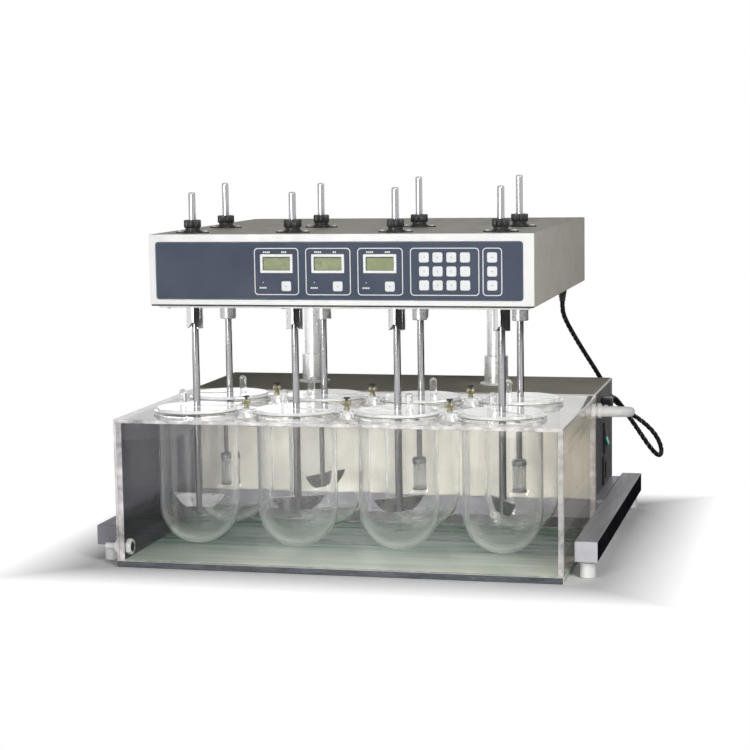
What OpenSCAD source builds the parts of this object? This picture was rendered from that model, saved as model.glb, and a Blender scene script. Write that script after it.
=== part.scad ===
// Dissolution tester with eight places: a drive head turns paddles and baskets in glass vessels,
// which hang in a clear water bath in front of a rear housing. The head rises on two lift columns.
// Millimetres, +Z up. The origin is on the bench at the middle of the footprint, the front is at -Y.

/* [Vessels] */
// Inside diameter of a vessel
vessel_id = 102; // [98:0.5:106]
// Glass thickness of a vessel
vessel_wall = 2.5; // [2:0.1:3]
// Room between a vessel's round bottom and the bath's floor
vessel_clear = 13; // [8:1:24]
// Width of the vessel's flange beyond its wall
flange_lip = 5.5; // [5:0.5:6]
// Thickness of the vessel's flange
flange_t = 5; // [4:0.5:7]
// Distance between vessel axes along a row
pitch_x = 140; // [136:1:144]
// Distance between the axes of the two rows
pitch_y = 144; // [136:1:150]

/* [Vessel covers] */
// Thickness of a cover's disc
cover_t = 4; // [3:0.5:6]
// Depth of the step that centres a cover in its vessel
cover_step = 2; // [1:0.5:4]
// Width of the slot that lets a shaft into a cover
cover_slot = 11.5; // [11:0.5:14]
// Diameter of a cover's peg handle
peg_d = 10; // [8:0.5:12]
// Height of a cover's peg handle
peg_h = 24; // [18:1:30]
// Distance of the peg handle from the shaft
peg_offset = 19; // [17:1:30]
// Overlap of a hold-down disc on a vessel's flange
clamp_overlap = 4; // [3:0.5:5]
// Thickness of a hold-down disc
clamp_t = 3; // [2:0.5:5]
// Height of a hold-down thumb screw above its disc
thumb_h = 12; // [8:1:16]
// Diameter of a hold-down thumb screw
thumb_d = 12; // [9:0.5:16]

/* [Water bath] */
// Outside width of the bath
bath_w = 603; // [590:1:620]
// Height of the bath with its top plate
bath_h = 200; // [196:1:210]
// Thickness of the bath's walls
bath_wall = 8; // [6:0.5:10]
// Thickness of the bath's floor
bath_floor = 8; // [6:0.5:10]
// Thickness of the top plate
plate_t = 5; // [4:0.5:8]
// Distance from the front row's axes to the bath's front face
front_margin = 79; // [75:1:90]
// Distance from the rear row's axes to the bath's back face
rear_margin = 97.5; // [90:0.5:110]

/* [Shafts] */
// Diameter of a shaft
rod_d = 9.75; // [9.4:0.05:10.1]
// Length of a shaft from its tool's lower edge to its top
rod_l = 430; // [426:1:440]
// Height of the front row's tools above the bench
front_tool_z = 70; // [64:1:76]
// Height of the rear row's tools above the bench
rear_tool_z = 77; // [64:1:80]
// Width of a paddle blade along its top edge
blade_w = 74.5; // [70:0.5:78]
// Radius of a paddle blade's curved ends
blade_r = 41.5; // [41:0.5:43]
// Height of a paddle blade
blade_h = 19; // [17:0.5:20]
// Thickness of a paddle blade
blade_t = 4; // [3:0.5:5]
// Outside diameter of a basket's mesh drum
basket_d = 22; // [20:0.5:24]
// Height of a basket's mesh drum
basket_h = 37; // [33:0.5:40]
// Height of a basket's cap
basket_cap_h = 9; // [7:0.5:12]

/* [Drive head] */
// Width of the head
head_w = 518; // [505:1:530]
// Depth of the head
head_d = 477; // [465:1:490]
// Height of the head's cover
head_h = 95.5; // [92:0.5:105]
// Room between the bath's top plate and the head
head_clear = 148; // [146:1:156]
// Distance from the front row's axes to the head's front face
head_front = 37; // [33:1:45]
// Sheet thickness of the head's cover
head_sheet = 2; // [1.5:0.1:3]
// Thickness of the head's base plate
base_plate_t = 3; // [2.5:0.5:4]
// Inset of the base plate from the head's faces
base_plate_inset = 9; // [7:0.5:12]
// Depth of the folded lip at the foot of the head's cover
head_lip = 14; // [12:0.5:15]

/* [Spindles] */
// Diameter of a spindle's hub below the head
hub_d = 23; // [21:0.5:25]
// Height of a spindle's hub below the head
hub_h = 33; // [30:1:36]
// Width of the drive notch at a hub's lower edge
notch_w = 15; // [10:0.5:16]
// Height of the drive notch
notch_h = 9.5; // [6:0.5:12]
// Diameter of a spindle in its bearings
spindle_d = 18; // [17:0.5:19]
// Diameter of a spindle's neck under its chuck knob
neck_d = 15; // [14:0.5:16]
// Diameter of a chuck knob over its lobes
knob_d = 22.5; // [21:0.5:26]
// Height of a chuck knob
knob_h = 10; // [8:0.5:14]
// Gap between a bearing cap and its chuck knob
knob_gap = 3; // [2:0.5:5]
// Diameter of a bearing cap
cap_d = 30; // [28:0.5:32]
// Thickness of a bearing cap
cap_t = 3.5; // [3:0.5:5]
// Distance between a bearing cap's screws
cap_screws = 36; // [34:1:40]
// Diameter of a belt pulley
pulley_d = 36; // [32:1:40]
// Width of the drive belt
belt_w = 10; // [8:0.5:12]
// Thickness of the drive belt
belt_t = 2; // [1.5:0.1:2.5]
// Side of the drive motor's square body
motor_w = 57; // [50:1:60]
// Height of the drive motor's body
motor_h = 34; // [28:1:38]

/* [Control panel] */
// Width of the membrane panel
panel_w = 495; // [480:1:500]
// Height of the membrane panel
panel_h = 76.5; // [74:0.5:80]
// Thickness of the membrane panel
panel_t = 1.2; // [0.8:0.1:2]
// Side of a key pad
key_w = 13; // [12:0.5:14]
// Height of a key pad above the panel
key_t = 0.8; // [0.4:0.1:1.2]
// Distance between keys
key_pitch = 18; // [17:0.5:19]
// Width of a display with its bezel
display_w = 44.4; // [40:0.2:48]
// Height of a display with its bezel
display_h = 24.8; // [22:0.2:27]
// Depth of a display behind its bezel's face
display_depth = 9; // [8:0.5:14]
// Distance between displays
display_pitch = 69.8; // [66:0.2:72]

/* [Lift columns] */
// Distance of a lift column from the middle
column_x = 140; // [125:1:150]
// Diameter of a lift column's moving tube
column_d = 28; // [26:0.5:30]
// Wall of the moving tube
column_wall = 3; // [2:0.5:3.5]
// Wall of the fixed sleeve
sleeve_wall = 4; // [3:0.5:6]
// Height of the sleeve above the rear housing
sleeve_up = 44; // [30:1:70]
// Travel of the head
lift_travel = 150; // [135:1:152]
// Length of the moving tube that stays in its sleeve when the head is up
guide_l = 37; // [30:1:40]
// Diameter of a lift screw
screw_d = 10; // [8:0.5:10]

/* [Rear housing] */
// Distance of the housing's side faces inside the bath's
housing_inset = 1.5; // [0:0.5:8]
// Depth of the housing
housing_d = 200; // [195:1:220]
// Height of the housing
housing_h = 151; // [145:1:158]
// Sheet thickness of the housing
housing_sheet = 2; // [1.5:0.1:3]
// Gap between the bath and the housing
housing_gap = 0.5; // [0.3:0.1:0.8]

/* [Frame] */
// Width of a side rail
rail_w = 30; // [26:1:36]
// Height of a side rail
rail_h = 27; // [24:1:32]
// Wall of the rails and beams
rail_wall = 2.5; // [2:0.5:4]
// Gap between the bath and a rail
rail_gap = 9.5; // [7:0.5:14]
// Distance of the rails' front ends behind the bath's front face
rail_setback = 29; // [28:1:45]
// Length of the rails behind the housing
rail_tail = 31.5; // [25:0.5:45]
// Height of a levelling foot
foot_h = 23; // [20:1:27]
// Diameter of a levelling foot
foot_d = 21; // [18:0.5:26]
// Distance of a foot from its rail's end
foot_inset = 18; // [16:1:40]

/* [Hidden] */
$fn = 48;
columns = 4;
places = 2 * columns;
// Clearances: running fits, drop-in fits, free gaps beside moving faces, and cuts that pass a face
run_fit = 0.05;
drop_fit = 0.5;
seat_fit = 0.15;
free_gap = 0.3;
cut = 1;

// Depths from front to back, with the footprint's middle at zero
bath_d = front_margin + pitch_y + rear_margin;
overall_d = bath_d + housing_gap + housing_d + rail_tail;
bath_y0 = -overall_d / 2;
bath_y1 = bath_y0 + bath_d;
front_row_y = bath_y0 + front_margin;
rear_row_y = front_row_y + pitch_y;
housing_y0 = bath_y1 + housing_gap;
housing_y1 = housing_y0 + housing_d;
head_y0 = front_row_y - head_front;
head_y1 = head_y0 + head_d;
rail_y0 = bath_y0 + rail_setback;
rail_y1 = overall_d / 2;
column_y = (housing_y0 + housing_y1) / 2;

// Heights above the bench
deck_z = foot_h + rail_h;
housing_z1 = deck_z + housing_h;
head_z = bath_h + head_clear;
head_top = head_z + head_h;
base_plate_z = head_z - base_plate_t;
rim_z = bath_h + flange_t;
vessel_z = bath_floor + vessel_clear;
cover_z = rim_z + run_fit;
sleeve_z1 = housing_z1 + sleeve_up;

// Vessels, covers and clamps
vessel_od = vessel_id + 2 * vessel_wall;
flange_d = vessel_od + 2 * flange_lip;
vessel_hole_d = vessel_od + 2 * drop_fit;
clamp_d = pitch_x - flange_d + 2 * clamp_overlap;
clamp_stud_d = 8;
clamp_collar_d = 14;
thumb_stem_d = 6;
thumb_stem_h = 5;
thumb_tip_d = 4;
thumb_lobes = 8;
thumb_lobe_r = 1.5;
clear_of_clamp = 1;
cover_d = flange_d - 2 * (clamp_overlap + clear_of_clamp);
cover_step_d = vessel_id - 2 * drop_fit;
// Direction of each cover's peg handle, and of each tool's blade, place by place
peg_angles = [205, 160, -25, 140, 10, 180, 40, 165];
blade_angles = [0, 30, 42, -57, 0, 60, 0, 0];
notch_angles = [2, 8, -6, 4, 120, 75, 100, 140];
// Height of each tool over its row's usual height, and length of each shaft over the usual length
tool_rises = [0, 0, 2.5, 3.5, 0, 0, 0, 0];
rod_extras = [-2, -2.5, 0, 0, 0, -1.5, 6, 7];
notch_back = 3;
notch_foot = notch_w / 2 * (1 + cut / notch_h);
has_basket = [false, false, false, false, true, false, true, true];
basket_wall = 1;
basket_slots = 10;
basket_slot_w = 4;
basket_slot_inset = 4.5;
basket_ring_h = 3.5;
basket_ring = 1.2;

// Spindles and the belt drive
rod_bore_d = rod_d + 2 * run_fit;
hub_z0 = head_z - hub_h;
hub_z1 = base_plate_z - free_gap;
cap_z1 = head_top + cap_t;
knob_z0 = cap_z1 + knob_gap;
neck_in_knob = 6;
neck_z1 = knob_z0 + neck_in_knob;
knob_lobes = 6;
knob_lobe_r = 4;
cap_ear_r = 5.5;
cap_web = 7.7;
bearing_wall = 4;
cap_spigot_d = spindle_d + 2 * bearing_wall;
cap_spigot_h = 8;
bush_rim = 4;
bush_flange_d = cap_spigot_d + 2 * bush_rim;
bush_flange_t = 6;
pulley_edge = 1;
pulley_h = belt_w + 2 * pulley_edge;
pulley_gap = 3;
pulley_z = head_z + motor_h + pulley_gap;
belt_z = pulley_z + pulley_edge;
drive_shaft_d = 8;
drive_shaft_l = 20;
motor_corner = 5;
motor_boss_d = 34;
motor_boss_h = 1.5;

// Panel layout on the head's front face, measured from the head's middle and lower edge
panel_x = -2.5;
panel_border = 9;
panel_z = head_z + panel_border + panel_h / 2;
panel_corner = 4;
key_corner = 2.5;
bezel_proud = 1;
bezel_edge = 3.5;
bezel_step = 0.8;
display_corner = 1;
window_corner = 0.5;
display_count = 3;
display_z = head_z + 56.8;
display_x = -82.3;
function_key_dx = 13.2;
function_key_z = head_z + 27.2;
keypad_x = 115.9;
keypad_z = head_z + 28.9;
side_key_x = 205.1;
key_columns = 4;
key_rows = 3;

// Lift columns
column_bore_d = column_d - 2 * column_wall;
sleeve_id = column_d + 2 * run_fit;
sleeve_od = sleeve_id + 2 * sleeve_wall;
sleeve_base_rim = 12;
sleeve_base_d = sleeve_od + 2 * sleeve_base_rim;
sleeve_base_t = 6;
post_wall = 3;
post_drop = 20;
post_z1 = sleeve_z1 - post_drop;
nut_h = 12;
column_z0 = sleeve_z1 - lift_travel - guide_l;
column_flange_rim = 14;
column_flange_d = column_d + 2 * column_flange_rim;
column_flange_t = 6;
screw_z0 = post_z1 - lift_travel - nut_h;
screw_seat = 8;
screw_z1 = head_z + column_flange_t + screw_seat;
lift_motor_d = 52;
lift_motor_h = 60;
lift_cap_d = 38;
lift_cap_h = 6;

// Frame and feet
rail_x0 = bath_w / 2 + rail_gap;
rail_x1 = rail_x0 + rail_w;
rail_mid_x = (rail_x0 + rail_x1) / 2;
end_cap_t = 2;
end_cap_depth = 8;
beam_w = 30;
foot_taper = 2;
foot_neck = 3;
foot_neck_d = 14;
foot_stud_d = 8;
foot_stud_up = 5;

// Rear housing: folded foot, vents at the back and what sits on the right face
housing_lip = 14;
vent_count = 14;
vent_w = 4;
vent_h = 44;
vent_pitch = 12;
side_x = bath_w / 2 - housing_inset;
switch_back = 102;
switch_up = 75;
switch_y = housing_y0 + switch_back;
switch_z = deck_z + switch_up;
switch_w = 28;
switch_h = 46;
inlet_back = 94;
inlet_up = 27;
inlet_y = housing_y0 + inlet_back;
inlet_z = deck_z + inlet_up;
inlet_w = 30;
inlet_h = 42;
bezel_t = 3;
bezel_corner = 2;
body_margin = 3;
body_depth = 22;
rocker_w = 16;
rocker_h = 24;
rocker_tilt = 10;
rocker_room = 1.4;
rocker_back = 6;
rocker_back_h = 4;
rocker_rim = 3;
rocker_tip = 5.5;
rocker_middle = 3.5;
socket_w = 17;
socket_h = 25;
socket_depth = 15;
plug_back = 72.25;
plug_drop = 21;
plug_y = housing_y0 + plug_back;
plug_z = housing_z1 - plug_drop;
plug_w = 22;
plug_h = 16;
plug_out = 16;
plug_nose_d = 11;
plug_nose_tip_d = 9;
plug_nose_l = 12;
plug_stem_d = 10;
plug_stem_l = 10;

// Water fittings: drain in the left wall, outlet in the right wall and port in the housing's right face
drain_ahead = 9;
drain_y = rail_y0 - drain_ahead;
drain_up = 16;
drain_z = bath_floor + drain_up;
outlet_ahead = 44.25;
outlet_drop = 12;
outlet_y = bath_y1 - outlet_ahead;
outlet_z = bath_h - plate_t - outlet_drop;
port_back = 21.25;
port_drop = 26;
port_y = housing_y0 + port_back;
port_z = housing_z1 - port_drop;
fitting_nut_d = 22;
fitting_nut_t = 7;
fitting_out = 9;
outlet_out = 7.5;
fitting_tube_d = 14;
fitting_bore_d = 8;
spout_l = 20;
spout_d = 10;
bore_reach = 80;
drain_spigot_d = 10;
drain_spigot_l = 14;
drain_bore_d = 6;

// Circulation heater inside the housing
heater_d = 60;
heater_l = 130;
heater_x = 90;
heater_behind = 8;
heater_up = 10;
heater_y = housing_y0 + heater_behind + heater_d / 2;
heater_z = deck_z + heater_up + heater_d / 2;
pump_d = 48;
pump_l = 50;
saddle_w = 24;
saddle_d = 30;

// Hose from the bath's outlet to the housing's port: how far out each point is, and how far across
hose_d = 14;
hose_sides = 10;
hose_steps = 3;
hose_from = [bath_w / 2 + outlet_out + 2 * run_fit, outlet_y, outlet_z];
hose_to = [side_x + fitting_out + 2 * run_fit, port_y, port_z];
hose_bends = [[0, 0], [15, 0], [30, 0.1], [42, 0.35], [42, 0.65], [30, 0.9], [15, 1], [0, 1]];
hose_route = [for (b = hose_bends) hose_from + b[1] * (hose_to - hose_from) + [b[0], 0, 0]];

// Harness straight down from the head's gland, then to its connector by points that are measured from
// the housing's lower back corner
harness_d = 7;
harness_sides = 8;
harness_steps = 3;
gland_side = 24;
gland_ahead = 68.75;
gland_x = head_w / 2 - gland_side;
gland_y = head_y1 - gland_ahead;
gland_d = 18;
gland_stem_d = 9;
gland_nut_t = 5;
gland_boot_l = 17;
gland_boot_d1 = 9;
gland_boot_d2 = 14;
gland_z0 = base_plate_z - gland_nut_t - gland_boot_l;
harness_from = [gland_x, gland_y, gland_z0 - run_fit];
harness_to = [side_x + plug_out / 2, plug_y + plug_w / 2 + plug_nose_l, plug_z];
harness_drop = 10;
harness_bends = [
    [-64, -68, 250], [-52, -46, 220], [-38, -24, 190], [-25, -2, 163], [-14, 16, 138], [-3, 20, 116],
    [17, 22, 98], [44, 24, 82], [66, 24, 60], [75, 14, 38], [72, -6, 31], [60, -20, 47],
    [45, -21, 70], [30, -22, 92], [18, -30, 112], [10, -48, 127], [8, -70, 130], [8, -90, 130]
];
harness_corner = [side_x, housing_y1, deck_z];
harness_top = [harness_from, harness_from - [0, 0, harness_drop]];
harness_route = concat(harness_top, [for (b = harness_bends) harness_corner + b], [harness_to]);

head_nodes = ["head_cover", "head_base_plate", "control_panel", "displays", "spindle_bearings",
    "drive_motor", "drive_belt", "drive_pulley", "lift_columns", "lift_motors",
    "lift_screw_left", "lift_screw_right", "harness_gland"];
base_nodes = ["side_rails", "cross_frame", "levelling_feet", "rear_housing", "column_sleeves",
    "circulation_heater", "water_bath", "bath_plate", "vessels", "hold_down_clamps",
    "bulkhead_fittings", "hose", "side_connectors", "mains_rocker", "harness"];
place_nodes = [for (name = ["spindle", "chuck", "rod", "cover"]) for (k = [1:places]) str(name, "_", k)];

// Colours
enamel = [0.90, 0.89, 0.85];
enamel_dark = [0.66, 0.64, 0.58];
rail_grey = [0.55, 0.56, 0.60];
clear_acrylic = [0.90, 0.95, 0.93, 0.35];
glass = [0.85, 0.93, 0.92, 0.35];
steel = [0.72, 0.73, 0.75];
black = [0.06, 0.06, 0.06];
white = [0.93, 0.93, 0.92];
panel_blue = [0.33, 0.38, 0.47];
display_green = [0.52, 0.56, 0.38];
switch_green = [0.10, 0.60, 0.50];

// Axis of place k: places 1 to 4 are the front row from the left, 5 to 8 the rear row
function in_front(k) = k <= columns;
function place_x(k) = ((k - 1) % columns - (columns - 1) / 2) * pitch_x;
function place_y(k) = in_front(k) ? front_row_y : rear_row_y;
function tool_z(k) = (in_front(k) ? front_tool_z : rear_tool_z) + tool_rises[k - 1];
function display_at(i) = display_x + i * display_pitch;

module at_place(k) {
    translate([place_x(k), place_y(k), 0]) children();
}

module at_columns() {
    for (side = [-1, 1]) translate([side * column_x, column_y, 0]) children();
}

module block(low, high) {
    translate(low) cube(high - low);
}

// Disc or rod with its lower face at z
module disc(d, z, h) {
    translate([0, 0, z]) cylinder(d = d, h = h);
}

module rounded_rect(w, h, r) {
    square([w - 2 * r, h], center = true);
    square([w, h - 2 * r], center = true);
    for (x = [-1, 1], y = [-1, 1]) translate([x * (w / 2 - r), y * (h / 2 - r)]) circle(r = r);
}

// Plate with round corners that stands on the head's front face, its back at depth y
module front_plate(w, h, r, t, x, y, z) {
    translate([x, y, z]) rotate([90, 0, 0]) linear_extrude(t) rounded_rect(w, h, r);
}

// Axis along +X for turned pieces on the right side, along -X on the left
module facing_x(side, x, y, z) {
    translate([x, y, z]) rotate([0, side * 90, 0]) children();
}

// Even cubic curve near a route's points, from the first point to the last
function curve_at(a, b, c, d, t) = let (u = 1 - t)
    (u ^ 3 * a + (3 * t ^ 3 - 6 * t ^ 2 + 4) * b + (3 * u ^ 3 - 6 * u ^ 2 + 4) * c + t ^ 3 * d) / 6;
function past_ends(p) = concat([2 * p[0] - p[1]], p, [2 * p[len(p) - 1] - p[len(p) - 2]]);
function smooth(p, steps) = let (q = past_ends(p)) [
    for (i = [0:len(p) - 2]) for (s = [0:steps - 1]) curve_at(q[i], q[i + 1], q[i + 2], q[i + 3], s / steps),
    p[len(p) - 1]
];
function unit(v) = v / norm(v);
function heading(p, i) = unit(p[min(i + 1, len(p) - 1)] - p[max(i - 1, 0)]);
function ring(at, along, side, r, n) = let (u = unit(cross(along, side)), v = cross(u, along))
    [for (k = [0:n - 1]) at + r * (cos(360 * k / n) * u + sin(360 * k / n) * v)];

module tube_along(p, d, n, side) {
    last = len(p) - 1;
    points = [for (i = [0:last]) each ring(p[i], heading(p, i), side, d / 2, n)];
    walls = [
        for (i = [0:last - 1]) for (k = [0:n - 1]) let (a = i * n + k, b = i * n + (k + 1) % n)
            each [[a, b, a + n], [b, b + n, a + n]]
    ];
    first_end = [for (k = [1:n - 2]) [0, k + 1, k]];
    last_end = [for (k = [1:n - 2]) [last * n, last * n + k, last * n + k + 1]];
    polyhedron(points, concat(walls, first_end, last_end));
}

// Side rails: square tubes with a moulded cap in each end
module side_rails() {
    for (side = [0, 1]) mirror([side, 0, 0]) {
        color(rail_grey) difference() {
            block([rail_x0, rail_y0 + end_cap_t, foot_h], [rail_x1, rail_y1 - end_cap_t, deck_z]);
            block([rail_x0 + rail_wall, rail_y0 - cut, foot_h + rail_wall],
                [rail_x1 - rail_wall, rail_y1 + cut, deck_z - rail_wall]);
            for (y = [rail_y0 + foot_inset, rail_y1 - foot_inset]) translate([rail_mid_x, y, 0])
                disc(foot_stud_d + 2 * seat_fit, foot_h - cut, rail_wall + 2 * cut);
        }
        color(rail_grey) rail_cap(rail_y0, 1);
        color(rail_grey) rail_cap(rail_y1, -1);
    }
}

module rail_cap(y, inward) {
    inset = rail_wall + seat_fit;
    plug_y1 = y + inward * (end_cap_t + end_cap_depth);
    head_y1 = y + inward * end_cap_t;
    block([rail_x0, min(y, head_y1), foot_h], [rail_x1, max(y, head_y1), deck_z]);
    block([rail_x0 + inset, min(y, plug_y1), foot_h + inset],
        [rail_x1 - inset, max(y, plug_y1), deck_z - inset]);
}

// Cross frame: two channels between the rails and the deck plate that carries the housing
module cross_frame() {
    color(rail_grey) {
        block([-rail_x0, housing_y0, deck_z - rail_wall], [rail_x0, housing_y1, deck_z]);
        for (y = [housing_y0, housing_y1 - beam_w]) difference() {
            block([-rail_x0, y, foot_h], [rail_x0, y + beam_w, deck_z]);
            block([-rail_x0 + rail_wall, y + rail_wall, foot_h - cut],
                [rail_x0 - rail_wall, y + beam_w - rail_wall, deck_z - rail_wall]);
        }
    }
}

module levelling_feet() {
    color(white) for (side = [-1, 1], y = [rail_y0 + foot_inset, rail_y1 - foot_inset])
        translate([side * rail_mid_x, y, 0]) {
            cylinder(d1 = foot_d, d2 = foot_d - foot_taper, h = foot_h - foot_neck);
            disc(foot_neck_d, foot_h - foot_neck, foot_neck);
            disc(foot_stud_d, foot_h, rail_wall + foot_stud_up);
        }
}

// Sheet housing, open below, with folded feet, vents in its back and cut-outs in its right face
module rear_housing() {
    inner_x = side_x - housing_sheet;
    inner_y0 = housing_y0 + housing_sheet;
    inner_y1 = housing_y1 - housing_sheet;
    color(enamel_dark) difference() {
        block([-side_x, housing_y0, deck_z], [side_x, housing_y1, housing_z1]);
        block([-inner_x, inner_y0, deck_z + housing_sheet], [inner_x, inner_y1, housing_z1 - housing_sheet]);
        block([-inner_x + housing_lip, inner_y0 + housing_lip, deck_z - cut],
            [inner_x - housing_lip, inner_y1 - housing_lip, deck_z + housing_sheet + cut]);
        at_columns()
            disc(sleeve_od + 2 * drop_fit, housing_z1 - housing_sheet - cut, housing_sheet + 2 * cut);
        for (i = [0:vent_count - 1]) translate([(i - (vent_count - 1) / 2) * vent_pitch, inner_y1 - cut, 0])
            block([-vent_w / 2, 0, deck_z + housing_h / 2 - vent_h / 2],
                [vent_w / 2, housing_sheet + 2 * cut, deck_z + housing_h / 2 + vent_h / 2]);
        side_cut(switch_y, switch_z, switch_w - 2 * body_margin, switch_h - 2 * body_margin);
        side_cut(inlet_y, inlet_z, inlet_w - 2 * body_margin, inlet_h - 2 * body_margin);
        facing_x(1, inner_x - cut, plug_y, plug_z)
            cylinder(d = plug_stem_d + 2 * seat_fit, h = housing_sheet + 2 * cut);
        facing_x(1, inner_x - cut, port_y, port_z)
            cylinder(d = fitting_tube_d + 2 * seat_fit, h = housing_sheet + 2 * cut);
    }
}

// Rectangular cut-out in the housing's right face, with room for the body that passes it
module side_cut(y, z, w, h) {
    block([side_x - housing_sheet - cut, y - w / 2 - seat_fit, z - h / 2 - seat_fit],
        [side_x + cut, y + w / 2 + seat_fit, z + h / 2 + seat_fit]);
}

// Fixed halves of the lift columns: a base, a guide sleeve and an inner post with the screw's nut
module column_sleeves() {
    color(enamel) at_columns() difference() {
        union() {
            disc(sleeve_base_d, deck_z, sleeve_base_t);
            disc(sleeve_od, deck_z, sleeve_z1 - deck_z);
        }
        difference() {
            disc(sleeve_id, deck_z + sleeve_base_t, sleeve_z1 - deck_z);
            disc(screw_d + 2 * post_wall, deck_z, post_z1 - deck_z);
        }
        disc(screw_d + 2 * drop_fit, deck_z + sleeve_base_t, post_z1 - nut_h - deck_z - sleeve_base_t);
        disc(screw_d + 2 * run_fit, deck_z + sleeve_base_t, sleeve_z1 - deck_z);
    }
}

// Moving halves of the lift columns: tubes with a flange that is bolted to the head's base plate
module lift_columns() {
    color(steel) at_columns() difference() {
        union() {
            disc(column_d, column_z0, head_z + column_flange_t - column_z0);
            disc(column_flange_d, head_z, column_flange_t);
        }
        disc(column_bore_d, column_z0 - cut, head_z - column_z0 + cut);
        disc(screw_d + 2 * drop_fit, head_z - cut, column_flange_t + 2 * cut);
    }
}

module lift_motors() {
    color(black) at_columns() difference() {
        union() {
            disc(lift_motor_d, head_z + column_flange_t, lift_motor_h);
            disc(lift_cap_d, head_z + column_flange_t, lift_motor_h + lift_cap_h);
        }
        disc(screw_d + 2 * run_fit, head_z, column_flange_t + screw_seat);
    }
}

module lift_screw(side) {
    color(steel) translate([side * column_x, column_y, 0]) disc(screw_d, screw_z0, screw_z1 - screw_z0);
}

// Heating barrel with its pump, on two saddles inside the housing
module circulation_heater() {
    color(steel) {
        facing_x(1, heater_x, heater_y, heater_z) {
            cylinder(d = heater_d, h = heater_l);
            cylinder(d = pump_d, h = heater_l + pump_l);
        }
        for (x = [heater_x + saddle_w, heater_x + heater_l - 2 * saddle_w])
            block([x, heater_y - saddle_d / 2, deck_z], [x + saddle_w, heater_y + saddle_d / 2, heater_z]);
        translate([heater_x + heater_l + pump_l / 2, heater_y, 0])
            disc(fitting_tube_d, heater_z, pump_d / 2 + fitting_tube_d);
    }
}

// Clear bath: walls and floor, bored for its drain and its outlet
module water_bath() {
    half_w = bath_w / 2;
    color(clear_acrylic) difference() {
        block([-half_w, bath_y0, 0], [half_w, bath_y1, bath_h - plate_t]);
        block([-half_w + bath_wall, bath_y0 + bath_wall, bath_floor],
            [half_w - bath_wall, bath_y1 - bath_wall, bath_h]);
        facing_x(-1, -half_w + bath_wall + cut, drain_y, drain_z)
            cylinder(d = fitting_tube_d + 2 * seat_fit, h = bath_wall + 2 * cut);
        facing_x(1, half_w - bath_wall - cut, outlet_y, outlet_z)
            cylinder(d = fitting_tube_d + 2 * seat_fit, h = bath_wall + 2 * cut);
    }
}

// Middles between neighbours in a row, where the hold-down clamps stand
module at_clamps() {
    for (i = [0:columns - 2], y = [front_row_y, rear_row_y])
        translate([(i - (columns - 2) / 2) * pitch_x, y, 0]) children();
}

module bath_plate() {
    color(clear_acrylic) difference() {
        block([-bath_w / 2, bath_y0, bath_h - plate_t], [bath_w / 2, bath_y1, bath_h]);
        for (k = [1:places]) at_place(k) disc(vessel_hole_d, bath_h - plate_t - cut, plate_t + 2 * cut);
        at_clamps() disc(clamp_stud_d + 2 * seat_fit, bath_h - plate_t - cut, plate_t + 2 * cut);
    }
}

// Half outline of a vessel to one radius: a straight wall on a round bottom
module vessel_outline(r, bottom) {
    intersection() {
        union() {
            translate([0, bottom + r]) circle(r = r);
            translate([0, bottom + r]) square([r, rim_z - bottom - r]);
        }
        translate([0, bottom]) square([r, rim_z - bottom]);
    }
}

module vessels() {
    color(glass) for (k = [1:places]) at_place(k) rotate_extrude() difference() {
        union() {
            vessel_outline(vessel_od / 2, vessel_z);
            translate([0, bath_h]) square([flange_d / 2, flange_t]);
        }
        vessel_outline(vessel_id / 2, vessel_z + vessel_wall);
        translate([0, rim_z]) square([vessel_id / 2, cut]);
    }
}

// Hold-down clamps: a collar on the plate, a disc over two flanges and a lobed thumb screw
module hold_down_clamps() {
    disc_z1 = rim_z + clamp_t;
    color(clear_acrylic) at_clamps() {
        disc(clamp_stud_d, bath_h - plate_t, plate_t);
        disc(clamp_collar_d, bath_h, flange_t);
        disc(clamp_d, rim_z, clamp_t);
        disc(thumb_stem_d, disc_z1, thumb_stem_h);
        translate([0, 0, disc_z1 + thumb_stem_h]) linear_extrude(thumb_h - thumb_stem_h)
            lobed(thumb_d, thumb_lobe_r, thumb_lobes);
        disc(thumb_tip_d, disc_z1 + thumb_h, thumb_stem_h);
    }
}

// Round outline with lobes that reach diameter d
module lobed(d, lobe_r, count) {
    circle(d = d - lobe_r);
    for (i = [0:count - 1]) rotate(360 * i / count) translate([d / 2 - lobe_r, 0]) circle(r = lobe_r);
}

// Through-wall fitting along +Z from the wall's outer face: a nut outside, a tube and a nut inside
module wall_fitting(wall, out) {
    cylinder(d = fitting_nut_d, h = fitting_nut_t, $fn = 6);
    cylinder(d = fitting_tube_d, h = out);
    translate([0, 0, -wall]) cylinder(d = fitting_tube_d, h = wall);
    translate([0, 0, -wall - fitting_nut_t]) cylinder(d = fitting_nut_d, h = fitting_nut_t, $fn = 6);
}

module fitting_bore(d) {
    translate([0, 0, -bore_reach]) cylinder(d = d, h = 2 * bore_reach);
}

module bulkhead_fittings() {
    color(white) {
        facing_x(-1, -bath_w / 2, drain_y, drain_z) difference() {
            union() {
                wall_fitting(bath_wall, fitting_out);
                cylinder(d = drain_spigot_d, h = fitting_out + drain_spigot_l);
            }
            fitting_bore(drain_bore_d);
        }
        facing_x(1, bath_w / 2, outlet_y, outlet_z) difference() {
            union() {
                wall_fitting(bath_wall, outlet_out);
                translate([0, 0, -bath_wall - fitting_nut_t - spout_l])
                    cylinder(d1 = spout_d, d2 = fitting_tube_d, h = spout_l);
            }
            fitting_bore(fitting_bore_d);
        }
        facing_x(1, side_x, port_y, port_z) difference() {
            wall_fitting(housing_sheet, fitting_out);
            fitting_bore(fitting_bore_d);
        }
    }
}

module hose() {
    color(white) tube_along(smooth(hose_route, hose_steps), hose_d, hose_sides, [0, 0, 1]);
}

module harness() {
    color(black) tube_along(smooth(harness_route, harness_steps), harness_d, harness_sides, [1, 1, 0]);
}

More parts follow.
